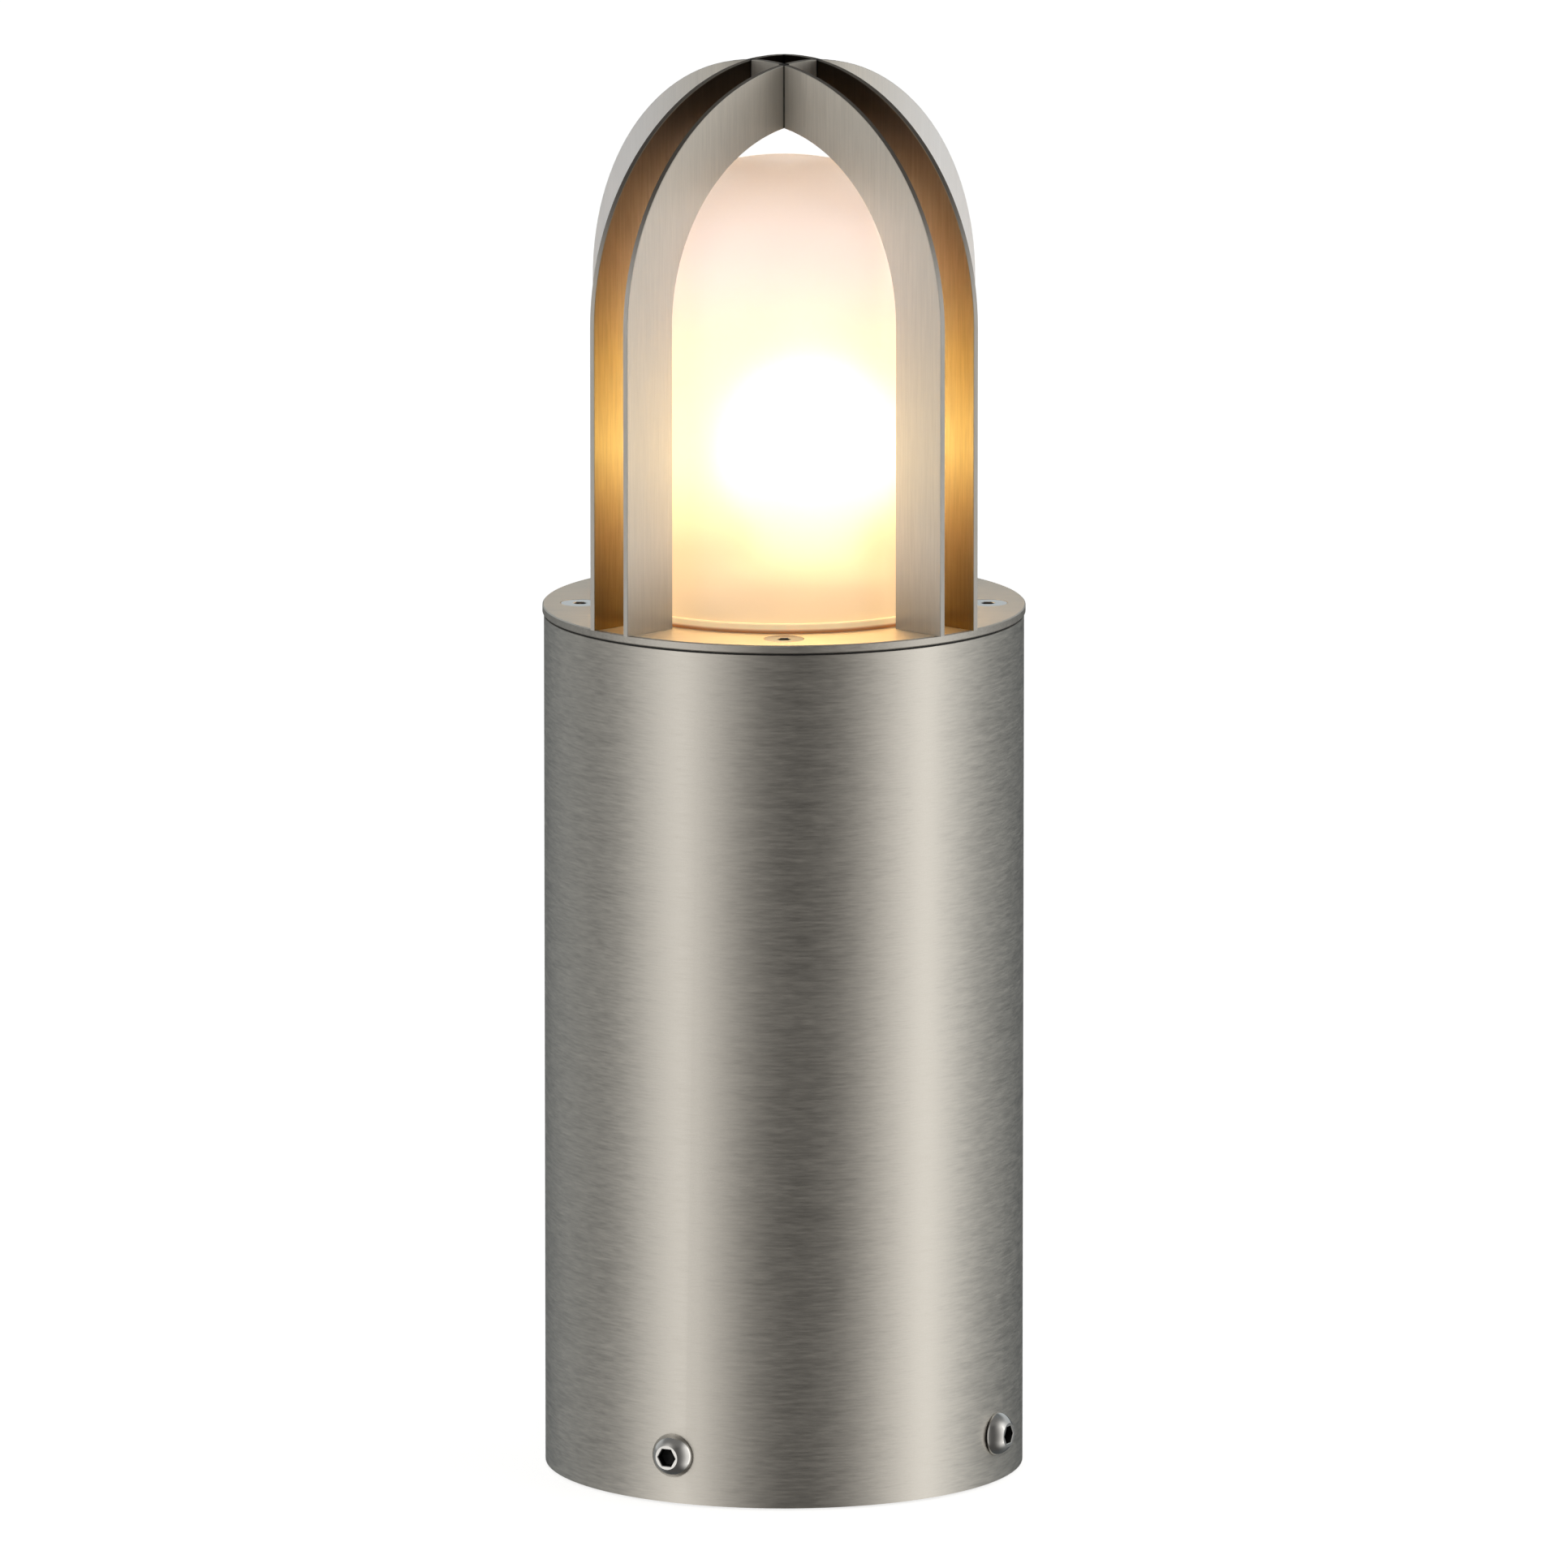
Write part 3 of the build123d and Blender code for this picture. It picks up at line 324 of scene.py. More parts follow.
def lathe(profile, columns, section=None):
    """Surface of revolution: a point of the profile at radius r and height z goes to
    (r s(t) cos t, r s(t) sin t, z) for t once round, where s is 1 or a section such as a hexagon's.
    Ends on the axis close with a fan, and a profile that ends where it starts closes on itself."""
    profile = np.asarray(profile, float)
    closed = bool(np.allclose(profile[0], profile[-1]))
    if closed:
        profile = profile[:-1]
    caps = [int(not closed and profile[k, 0] < 1e-9) for k in (0, -1)]
    rings = profile[caps[0]:len(profile) - caps[1]]
    t = np.arange(columns) * TURN / columns
    r = rings[:, :1] * np.ones_like(t)
    if section is not None:
        r = r * section[caps[0]:len(profile) - caps[1]]
    verts = np.stack([r * np.cos(t), r * np.sin(t), rings[:, 1:2] * np.ones_like(t)], -1).reshape(-1, 3)
    faces = grid_faces(len(rings), columns, wrap_rows=closed)
    j = np.arange(columns)
    for k, first in ((0, 0), (1, (len(rings) - 1) * columns)):
        if caps[k]:
            tip = len(verts)
            verts = np.vstack([verts, [0, 0, profile[-k, 1]]])
            ends = (j, (j + 1) % columns) if k else ((j + 1) % columns, j)
            faces += np.stack([first + ends[0], first + ends[1], np.full(columns, tip)], -1).tolist()
    return verts, faces


def arc(centre_r, centre_z, radius, start, end, steps):
    """Points (r, z) on an arc, at angles in degrees from the outward direction."""
    a = np.radians(np.linspace(start, end, steps))
    return np.stack([centre_r + radius * np.cos(a), centre_z + radius * np.sin(a)], -1)


def placed(verts, centre, outward=None):
    """Vertices moved to a centre, with their Z axis turned to a level outward direction."""
    if outward is not None:
        out = np.array([cos(outward), sin(outward), 0.0])
        side = np.array([-sin(outward), cos(outward), 0.0])
        verts = verts @ np.stack([side, np.array([0, 0, 1.0]), out])
    return verts + np.asarray(centre)


def joined(parts):
    """Several (vertices, faces) as one."""
    verts, faces, count = [], [], 0
    for v, f in parts:
        verts.append(v)
        faces += [[i + count for i in face] for face in f]
        count += len(v)
    return np.vstack(verts), faces


def hexagon_section(columns):
    """Radius of a hexagon with unit apothem, at each column: 1 / cos of the angle from a flat's middle."""
    t = np.arange(columns) * TURN / columns
    return 1 / np.cos((t % (pi / 3)) - pi / 6)


def socket_screw(profile, flats, depth, columns=96):
    """Screw with a hexagon socket. The outer profile runs up the outside to the edge of the face;
    the face then narrows to the hexagon, whose walls go down to a drilled cone. Gives the vertices,
    the faces and how deep each vertex lies in the socket."""
    face_z = profile[-1][1]
    apothem, bevel = flats / 2, 0.04 * flats
    inner = [(apothem + bevel, face_z), (apothem, face_z - bevel), (apothem, face_z - depth),
             (apothem * 0.6, face_z - depth - 0.1 * flats), (0, face_z - depth - 0.22 * flats)]
    hexed = np.array([0.0] * len(profile) + [1, 1, 1, 0.4, 0])[:, None]
    section = 1 + hexed * (hexagon_section(columns)[None, :] - 1)
    verts, faces = lathe([*profile, *inner], columns, section)
    ring_recess, tip_recess = [0.0] * len(profile) + [0.55, 1.0, 1.0], [0.0, 1.0]
    return verts, faces, np.concatenate([np.repeat(ring_recess, columns), tip_recess])


# ---------------------------------------------------------------- finishes

def brushed_steel(name, scale, tint, rougher, contrast, spread=0.0, across=0.0):
    """Brushed stainless steel: fine and coarse brush marks vary its colour, roughness and height.
    Scale is how many marks there are in a metre along each axis, tint makes the steel paler or darker,
    and rougher is added to its usual roughness. Spread draws the reflections out sideways, or up and
    down where across is a quarter turn."""
    metal = bpy.context.scene.bollard_metal
    colour = shade(tuple(metal.steel), tint)
    rough = metal.roughness + rougher
    f = Finish(name, Metallic=1.0, Anisotropic=spread, Anisotropic_Rotation=across)
    fine = f.noise(scale, 3.0, 0.6)
    coarse = f.noise(tuple(s * 0.28 for s in scale), 2.0, 0.5, seed=4.0)
    cloud = f.noise(14, 2.0, 0.5, seed=9.0)
    marks = (fine - 0.5) * 0.9 + (coarse - 0.5) * 0.35
    tone = (0.5 + contrast * marks + 0.35 * (cloud - 0.5)).clamp()
    roughs = (rough + 0.26 * contrast * marks + 0.08 * (cloud - 0.5)).clamp(0.08, 0.9)
    return f.set(Base_Color=f.mix(tone, shade(colour, 0.80), shade(colour, 1.20)), Roughness=roughs,
                 Normal=f.bump(marks, 0.10, 0.0004))


def arch_sheet(name, low, high, outward):
    """Steel sheet of one arch plate, told apart by its distance from the cage's middle plane. The face
    towards its twin carries a painted reflection of the lamp's glow, straw and brown and strongest level
    with the lamp, with painted shade at the foot and near black at the crown. The cut rims are paler and
    duller low down, partly from their cut finish and partly as a painted highlight, and painted shade
    makes them dark at the crown; the outward face is painted paler on its back half, as if better lit;
    painted shade darkens the foot, the crown beside the crossings and the corners of the crossings."""
    w = 1 / bpy.context.scene.bollard_metal.grain
    material = brushed_steel(name, (w, w, 0.04 * w), tint=1.17, rougher=0.03, contrast=0.8, spread=0.8)
    f = Finish.again(material)
    _, x, y, z = f.place()
    middle = outward[0] * (low.x + high.x) / 2 + outward[1] * (low.y + high.y) / 2
    reach = (x * outward[0] + y * outward[1]) * (1 if middle > 0 else -1)
    along = abs(x * -outward[1] + y * outward[0])
    height = ((z - low.z) / (high.z - low.z)).clamp()
    middle, half_sheet = abs(middle), 0.75 * MM
    inner = 1 - reach.step(middle - half_sheet * 0.9, middle - half_sheet * 0.8)
    face = reach.step(middle + half_sheet * 0.8, middle + half_sheet * 0.9)
    rim = 1 - inner - face
    # painted shade: the outward face darkens towards its foot and beside the crossings at the crown, and the
    # corners of the crossings go almost black
    crossing_shade = 1 - abs(along - middle).step(half_sheet + 0.05 * MM, half_sheet + 0.45 * MM)
    foot = 0.58 + 0.42 * height.step(-0.03, 0.20)
    apex_shade = 0.72 + 0.28 * along.step(middle + half_sheet, middle + 11 * MM)
    painted_shade = (1 - 0.8 * crossing_shade) * (1 - face * (1 - foot * apex_shade))
    cuts = f.noise((1500, 1500, 300), 2.0, 0.5, seed=11.0)
    streaks = f.noise((w, w, 0.04 * w), 3.0, 0.6, seed=2.0)
    # painted reflection of the lamp's glow on the inner face, strongest level with the lamp, with painted
    # shade at the foot and near black at the crown
    painted_glow_and_shade = f.ramp(height, [
        (0.00, (0.31, 0.20, 0.06)), (0.18, (0.66, 0.50, 0.28)), (0.34, (0.93, 0.81, 0.46)),
        (0.50, (0.84, 0.68, 0.33)), (0.67, (0.66, 0.48, 0.27)), (0.80, (0.54, 0.41, 0.27)),
        (0.88, (0.42, 0.32, 0.23)), (1.00, (0.03, 0.025, 0.02))])
    base, rough = f.linked("Base Color"), f.linked("Roughness")
    streaked = f.times(painted_glow_and_shade, f.mix(streaks.step(0.2, 0.8), (0.82, 0.82, 0.82), WHITE))
    tinted = f.mix(inner, base, streaked)
    # cut rims: paler low down, partly their cut finish and partly a painted highlight; painted shade makes
    # them dark towards the crown
    pale = f.mix(cuts, (0.84, 0.81, 0.77), (0.96, 0.94, 0.90))
    edge = f.mix(height.step(0.58, 0.84), pale, (0.16, 0.14, 0.12))
    # painted light: the back half of the outward face is made paler, as if better lit
    painted_lit_back_half = f.mix(face * y.step(0.004, 0.03), tinted, f.mix(streaks, (0.90, 0.90, 0.90), WHITE))
    return f.set(Base_Color=f.times(f.mix(rim * 0.9, painted_lit_back_half, edge), f.mix(painted_shade, BLACK, WHITE)),
                 Roughness=rough + rim * 0.25)


def clean_metal(name, colour, roughness):
    """Metal with fine machining marks and slightly darker patches."""
    f = Finish(name, Metallic=1.0)
    fine = f.noise(900, 3.0, 0.6)
    cloud = f.noise(90, 3.0, 0.55, seed=3.0)
    tone = (cloud * 0.7 + fine * 0.3).clamp()
    return f.set(Base_Color=f.mix(tone, shade(colour, 0.85), shade(colour, 1.075)),
                 Roughness=(roughness + 0.25 * (cloud - 0.5) * roughness + 0.1 * (fine - 0.5)).clamp(0.03),
                 Normal=f.bump(fine, 0.06, 0.0001))


def polished_steel():
    """Mirror polish with faint wiping marks, and painted shade in the sockets."""
    f = Finish("polished_steel", Metallic=1.0)
    marks = f.noise(700, 4.0, 0.6)
    smear = f.noise(160, 2.0, 0.5, seed=6.0)
    # painted shade in the sockets, near black where the recess is deepest
    painted_socket_shade = f.node("ShaderNodeAttribute", {"attribute_name": "recess"}, out=2)
    bright = f.mix(smear, (0.62, 0.61, 0.59), (0.78, 0.77, 0.75))
    return f.set(Base_Color=f.mix(painted_socket_shade, bright, (0.02, 0.02, 0.02)),
                 Roughness=(0.10 + 0.10 * (smear - 0.4) + 0.05 * (marks - 0.5) + 0.35 * painted_socket_shade).clamp(0.04),
                 Normal=f.bump(marks, 0.02, 0.0001))


def primed_flange():
    """Grey zinc primer over a cast plate: a pebbly skin that thins to darker metal at its high spots."""
    f = Finish("primed_flange", Metallic=0.25)
    pebble = f.noise(520, 3.0, 0.6)
    cloud = f.noise(45, 3.0, 0.55, seed=5.0)
    tone = (0.6 * cloud + 0.4 * pebble).step(0.38, 0.64)
    return f.set(Base_Color=f.mix(tone, (0.15, 0.155, 0.16), (0.27, 0.275, 0.28)),
                 Roughness=(0.55 + 0.25 * (pebble - 0.5)).clamp(), Normal=f.bump(pebble, 0.35, 0.0003))


def rubber(name, colour, roughness=0.62):
    """Moulded rubber: a fine bloom and a faint grain."""
    f = Finish(name, IOR=1.5)
    bloom = f.noise(130, 3.0, 0.6)
    grain = f.noise(1500, 2.0, 0.6, seed=2.0)
    return f.set(Base_Color=f.mix(bloom.step(0.4, 0.7), colour, shade(colour, 1.5)),
                 Roughness=(roughness + 0.3 * (bloom - 0.5)).clamp(), Normal=f.bump(grain, 0.12, 0.0002))


def silicone():
    """Milky silicone with a painted glow standing in for the lamp's light, and painted shade where it meets
    the plate.
    """
    f = Finish("clear_silicone", IOR=1.41, Subsurface_Weight=0.35, Subsurface_Radius=(0.004, 0.003, 0.002),
               Subsurface_Scale=1.0, Emission_Strength=0.25)
    cloud = f.noise(260, 3.0, 0.6)
    # painted shade where the silicone meets the plate, in its colour and its glow
    foot = 1 - ((f.place()[3] - PLATE_TOP) / (GASKET_TOP - PLATE_TOP)).step(0.12, 0.5)
    milky = f.mix(cloud, (0.78, 0.66, 0.46), (0.88, 0.78, 0.58))
    # painted glow: the silicone emits as if lit by the lamp; its emission strength is set above
    glow = f.mix(cloud, (0.92, 0.84, 0.56), (1.0, 0.92, 0.64))
    return f.set(Base_Color=f.mix(foot * 0.8, milky, (0.40, 0.20, 0.06)),
                 Emission_Color=f.mix(foot, glow, (0.16, 0.07, 0.01)),
                 Roughness=(0.36 + 0.2 * (cloud - 0.5)).clamp(), Normal=f.bump(cloud, 0.08, 0.0002))


def porcelain():
    """White glazed porcelain with faint waves and specks in the glaze."""
    f = Finish("glazed_porcelain", IOR=1.55, Coat_Weight=0.6, Coat_Roughness=0.06)
    wave = f.noise(75, 2.0, 0.5)
    speck = f.noise(1400, 1.0, 0.5, seed=8.0).step(0.70, 0.76)
    body = f.mix(wave, (0.80, 0.78, 0.73), (0.88, 0.87, 0.83))
    return f.set(Base_Color=f.mix(speck * 0.35, body, (0.45, 0.40, 0.33)),
                 Roughness=(0.20 + 0.15 * (wave - 0.5)).clamp(), Normal=f.bump(wave, 0.10, 0.0006))


def moulded_plastic(name, colour, roughness=0.45):
    """Moulded plastic with a fine spark-eroded texture and slight flow marks."""
    f = Finish(name, IOR=1.48)
    grain = f.noise(1300, 2.0, 0.6)
    flow = f.noise((60, 60, 220), 2.0, 0.5, seed=7.0)
    return f.set(Base_Color=f.mix(flow, shade(colour, 0.86), shade(colour, 1.08)),
                 Roughness=(roughness + 0.2 * (grain - 0.5)).clamp(), Normal=f.bump(grain, 0.10, 0.0002))


def striped_lead():
    """Green and yellow insulation, striped along the lead."""
    f = Finish("lead_green_yellow_skin", IOR=1.48)
    _, x, y, _ = f.place()
    stripes = 1.9 * MM
    wave = x.math("SINE", (x - y) * (TURN / stripes))
    grain = f.noise((1300, 1300, 300), 2.0, 0.6)
    return f.set(Base_Color=f.mix(wave.step(-0.08, 0.08), (0.04, 0.22, 0.05), (0.70, 0.52, 0.03)),
                 Roughness=(0.42 + 0.2 * (grain - 0.5)).clamp(), Normal=f.bump(grain, 0.08, 0.0002))


def opal_glass():
    """Satin opal glass, lit from inside: it passes a blurred sight of the lamp and has a painted glow in
    place of the lamp's light it scatters, brightest level with the lamp, paler and cooler at the crown and
    more golden at the foot."""
    glass = bpy.context.scene.bollard_glass
    f = Finish("satin_opal_glass", IOR=1.45, Transmission_Weight=0.62, Emission_Strength=glass.glow)
    height = ((f.place()[3] - GLASS_LOW.z) / (GLASS_HIGH.z - GLASS_LOW.z)).clamp()
    # painted glow of the glass by height, standing in for the lamp's light
    painted_glow_ramp = f.ramp(height, [
        (0.00, (0.77, 0.80, 0.52)), (0.035, (0.77, 0.80, 0.52)), (0.05, (0.44, 0.28, 0.13)),
        (0.12, (0.37, 0.24, 0.13)), (0.22, (0.45, 0.32, 0.17)), (0.39, (1.0, 0.80, 0.42)),
        (0.55, (0.66, 0.54, 0.36)), (0.68, (0.42, 0.35, 0.31)), (0.80, (0.34, 0.31, 0.30)),
        (0.90, (0.26, 0.25, 0.25)), (1.00, (0.14, 0.12, 0.09))])
    cloud = f.noise((38, 38, 30), 2.0, 0.5)
    etched = f.noise(2200, 2.0, 0.6, seed=5.0)
    glow = f.mix(cloud.step(0.25, 0.75), f.times(painted_glow_ramp, (0.94, 0.93, 0.92)), painted_glow_ramp)
    body = f.mix(cloud, (0.80, 0.77, 0.72), (0.86, 0.83, 0.79))
    crown = f.mix(cloud, (0.79, 0.79, 0.845), (0.85, 0.85, 0.905))
    return f.set(Base_Color=f.mix(height.step(0.52, 0.80), body, crown), Emission_Color=glow,
                 Roughness=(glass.haze + 0.10 * (etched - 0.5)).clamp(), Normal=f.bump(etched, 0.05, 0.0001))


def lamp_glass():
    """Soft white bulb, lit: brightest round its middle and dimmer in its neck."""
    lamp = bpy.context.scene.bollard_lamp
    f = Finish("soft_white_bulb", IOR=1.5, Emission_Strength=lamp.brightness)
    z = f.place()[3]
    lit = 1 - 0.93 * ((LAMP_Z - z) / (LAMP_Z - LAMP_LOW.z)).clamp()
    haze = f.noise(120, 2.0, 0.5)
    glow = f.times(tuple(lamp.colour), f.mix(lit, BLACK, WHITE))
    return f.set(Base_Color=f.mix(haze, (0.84, 0.81, 0.75), (0.90, 0.88, 0.83)),
                 Roughness=(0.22 + 0.1 * (haze - 0.5)).clamp(), Emission_Color=glow)


def clear_glass():
    """Clear stem glass with a slight haze."""
    f = Finish("clear_stem_glass", IOR=1.5, Transmission_Weight=1.0)
    haze = f.noise((200, 200, 60), 2.0, 0.5)
    return f.set(Base_Color=f.mix(haze, (0.92, 0.94, 0.94), (0.98, 0.99, 0.99)),
                 Roughness=(0.04 + 0.08 * haze).clamp())


def lit_wire():
    """Glowing tungsten, a little hotter in places."""
    f = Finish("lit_tungsten", Metallic=1.0, Emission_Strength=25.0)
    band = f.noise(600, 2.0, 0.5)
    return f.set(Base_Color=f.mix(band, (0.35, 0.33, 0.30), (0.55, 0.52, 0.48)),
                 Roughness=(0.35 + 0.2 * band).clamp(),
                 Emission_Color=f.mix(band, (1.0, 0.58, 0.22), (1.0, 0.72, 0.36)))


def dress(material, *names):
    """Gives CAD nodes a finished material in place of their plain one."""
    for name in names:
        mesh_slots = NODES[name].material_slots
        if not mesh_slots:
            raise RuntimeError(f"{name} has no material slot")
        for mesh_slot in mesh_slots:
            mesh_slot.material = material


# ---------------------------------------------------------------- operators

class BOLLARD_OT_tube(bpy.types.Operator):
    """Brush the body tube round its axis and finish its ground flange"""
    bl_idname = "bollard.tube"
    bl_label = "Body tube"

    def execute(self, context):
        w = 1 / context.scene.bollard_metal.grain
        dress(brushed_steel("brushed_tube_steel", (0.11 * w, 0.11 * w, w), tint=1.05, rougher=0.0,
                            contrast=1.6, spread=0.75, across=0.25), "body_tube")
        dress(primed_flange(), "base_flange")
        return {"FINISHED"}


class BOLLARD_OT_plate(bpy.types.Operator):
    """Brush the head plate in one direction"""
    bl_idname = "bollard.plate"
    bl_label = "Head plate"

    def execute(self, context):
        w = 1 / context.scene.bollard_metal.grain
        dress(brushed_steel("brushed_plate_steel", (0.05 * w, w, w), tint=0.88, rougher=-0.01,
                            contrast=1.3), "top_plate")
        return {"FINISHED"}


class BOLLARD_OT_cage(bpy.types.Operator):
    """Brush the four arch plates along their sheet"""
    bl_idname = "bollard.cage"
    bl_label = "Arch cage"

    def execute(self, context):
        for name in ("lower_back", "lower_front", "upper_back", "upper_front"):
            low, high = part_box(f"cage_arch_{name}")
            side = 1 if name.startswith("lower") else -1
            out = (-sqrt(0.5) * side, sqrt(0.5))
            dress(arch_sheet(f"brushed_{name}_steel", low, high, out), f"cage_arch_{name}")
        return {"FINISHED"}


class BOLLARD_OT_screws(bpy.types.Operator):
    """Polished socket screws: domed ones through the tube, flush ones in the head plate"""
    bl_idname = "bollard.screws"
    bl_label = "Polished screws"

    def execute(self, context):
        polish = polished_steel()
        button = self.button(context.scene.bollard_metal.screw_socket)
        low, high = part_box("body_screws")
        z, first_turn = (low.z + high.z) / 2, -117.5
        turns = [radians(first_turn + 90 * i) for i in range(4)]
        spots = [((TUBE_R * cos(t), TUBE_R * sin(t), z), t) for t in turns]
        self.add("domed_screws", button, spots, polish, "base", "body_screws")
        low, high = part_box("top_screws")
        head_r = 4.7 * MM
        pitch_r = high.x - head_r
        spots = [((pitch_r * cos(t), pitch_r * sin(t), high.z), None) for t in (0, pi / 2, pi, 3 * pi / 2)]
        self.add("flush_screws", self.flush(head_r, high.z - low.z), spots, polish, "head", "top_screws")
        return {"FINISHED"}

    def add(self, name, screw, spots, polish, body, replaced):
        """The same screw at each place, turned to its outward direction where it has one."""
        verts, faces, recess = screw
        add_piece(name, *joined([(placed(verts, *spot), faces) for spot in spots]), polish, body,
                  "polished_screws", [replaced], recess=np.tile(recess, len(spots)))

    def shank(self, radius, foot):
        """Profile of the shank from its tip on the axis, a foot's length under the head, to its side."""
        bevel = 0.5 * MM
        return [(0, -foot), (radius - bevel, -foot), (radius, bevel - foot)]

    def button(self, flats):
        """Domed head on a 6 mm shank: its dome is an arc from the rim of the head to a flat round the
        socket, about the point on the axis that is as far from both."""
        shank, head, rise, rim, edge = 3 * MM, 5.25 * MM, 3.3 * MM, 0.35 * MM, 0.1 * MM
        flat = 0.55 * head
        centre = (head**2 - flat**2 + rim**2 - rise**2) / (2 * (rim - rise))
        dome = sqrt(head**2 + (rim - centre) ** 2)
        start, end = (np.degrees(np.arctan2(z - centre, r)) for r, z in ((head, rim), (flat, rise)))
        return socket_screw([*self.shank(shank, 9 * MM), (shank, 0), (head - edge, 0), (head, edge),
                             *arc(0, centre, dome, start, end, 16)], flats, 2.1 * MM)

    def flush(self, head, foot):
        """Countersunk head on a 5 mm shank: a cone of 45 degrees under a short upright rim."""
        shank, rim, edge = 2.5 * MM, 0.15 * MM, 0.1 * MM
        return socket_screw([*self.shank(shank, foot), (shank, shank - head - rim), (head, -rim),
                             (head - edge, 0)], 3 * MM, 1.9 * MM)


class BOLLARD_OT_glass(bpy.types.Operator):
    """Domed opal glass with its foot, and the seals that hold it"""
    bl_idname = "bollard.glass"
    bl_label = "Domed glass"

    def execute(self, context):
        glass = context.scene.bollard_glass
        side_r, foot_r, foot_t, edge = 40 * MM, GLASS_HIGH.x, 4 * MM, 0.4 * MM
        top, foot = GLASS_HIGH.z, GLASS_LOW.z
        spring, shoulder = top - glass.crown, glass.shoulder
        rise = glass.crown - shoulder
        drop = ((side_r - shoulder) ** 2 - rise**2) / (2 * rise)
        crown = glass.crown + drop
        turn = np.degrees(np.arctan2(drop, side_r - shoulder))

        def skin(inset):
            """Straight side, shoulder arc and crown arc of the glass, this far inside its outer skin."""
            side = np.stack([np.full(24, side_r - inset), np.linspace(foot + foot_t, spring, 24)], -1)
            return np.vstack([side, arc(side_r - shoulder, spring, shoulder - inset, 0, turn, 24)[1:],
                              arc(0, spring - drop, crown - inset, turn, 90, 30)[1:]])

        outer, inner = skin(0), skin(glass.wall)
        outer[-1, 0] = inner[-1, 0] = 0
        rim = [(side_r - glass.wall, foot), (foot_r - edge, foot), (foot_r, foot + edge),
               (foot_r, foot + foot_t - edge), (foot_r - edge, foot + foot_t)]
        profile = np.vstack([inner[::-1], rim, outer])
        add_piece("domed_glass", *lathe(profile, 192), opal_glass(), "head", "opal_glass", ["glass_dome"])
        dress(silicone(), "glass_gasket")
        dress(rubber("seal_rubber_skin", (0.018, 0.018, 0.018)), "head_seal", "glass_cushion")
        return {"FINISHED"}


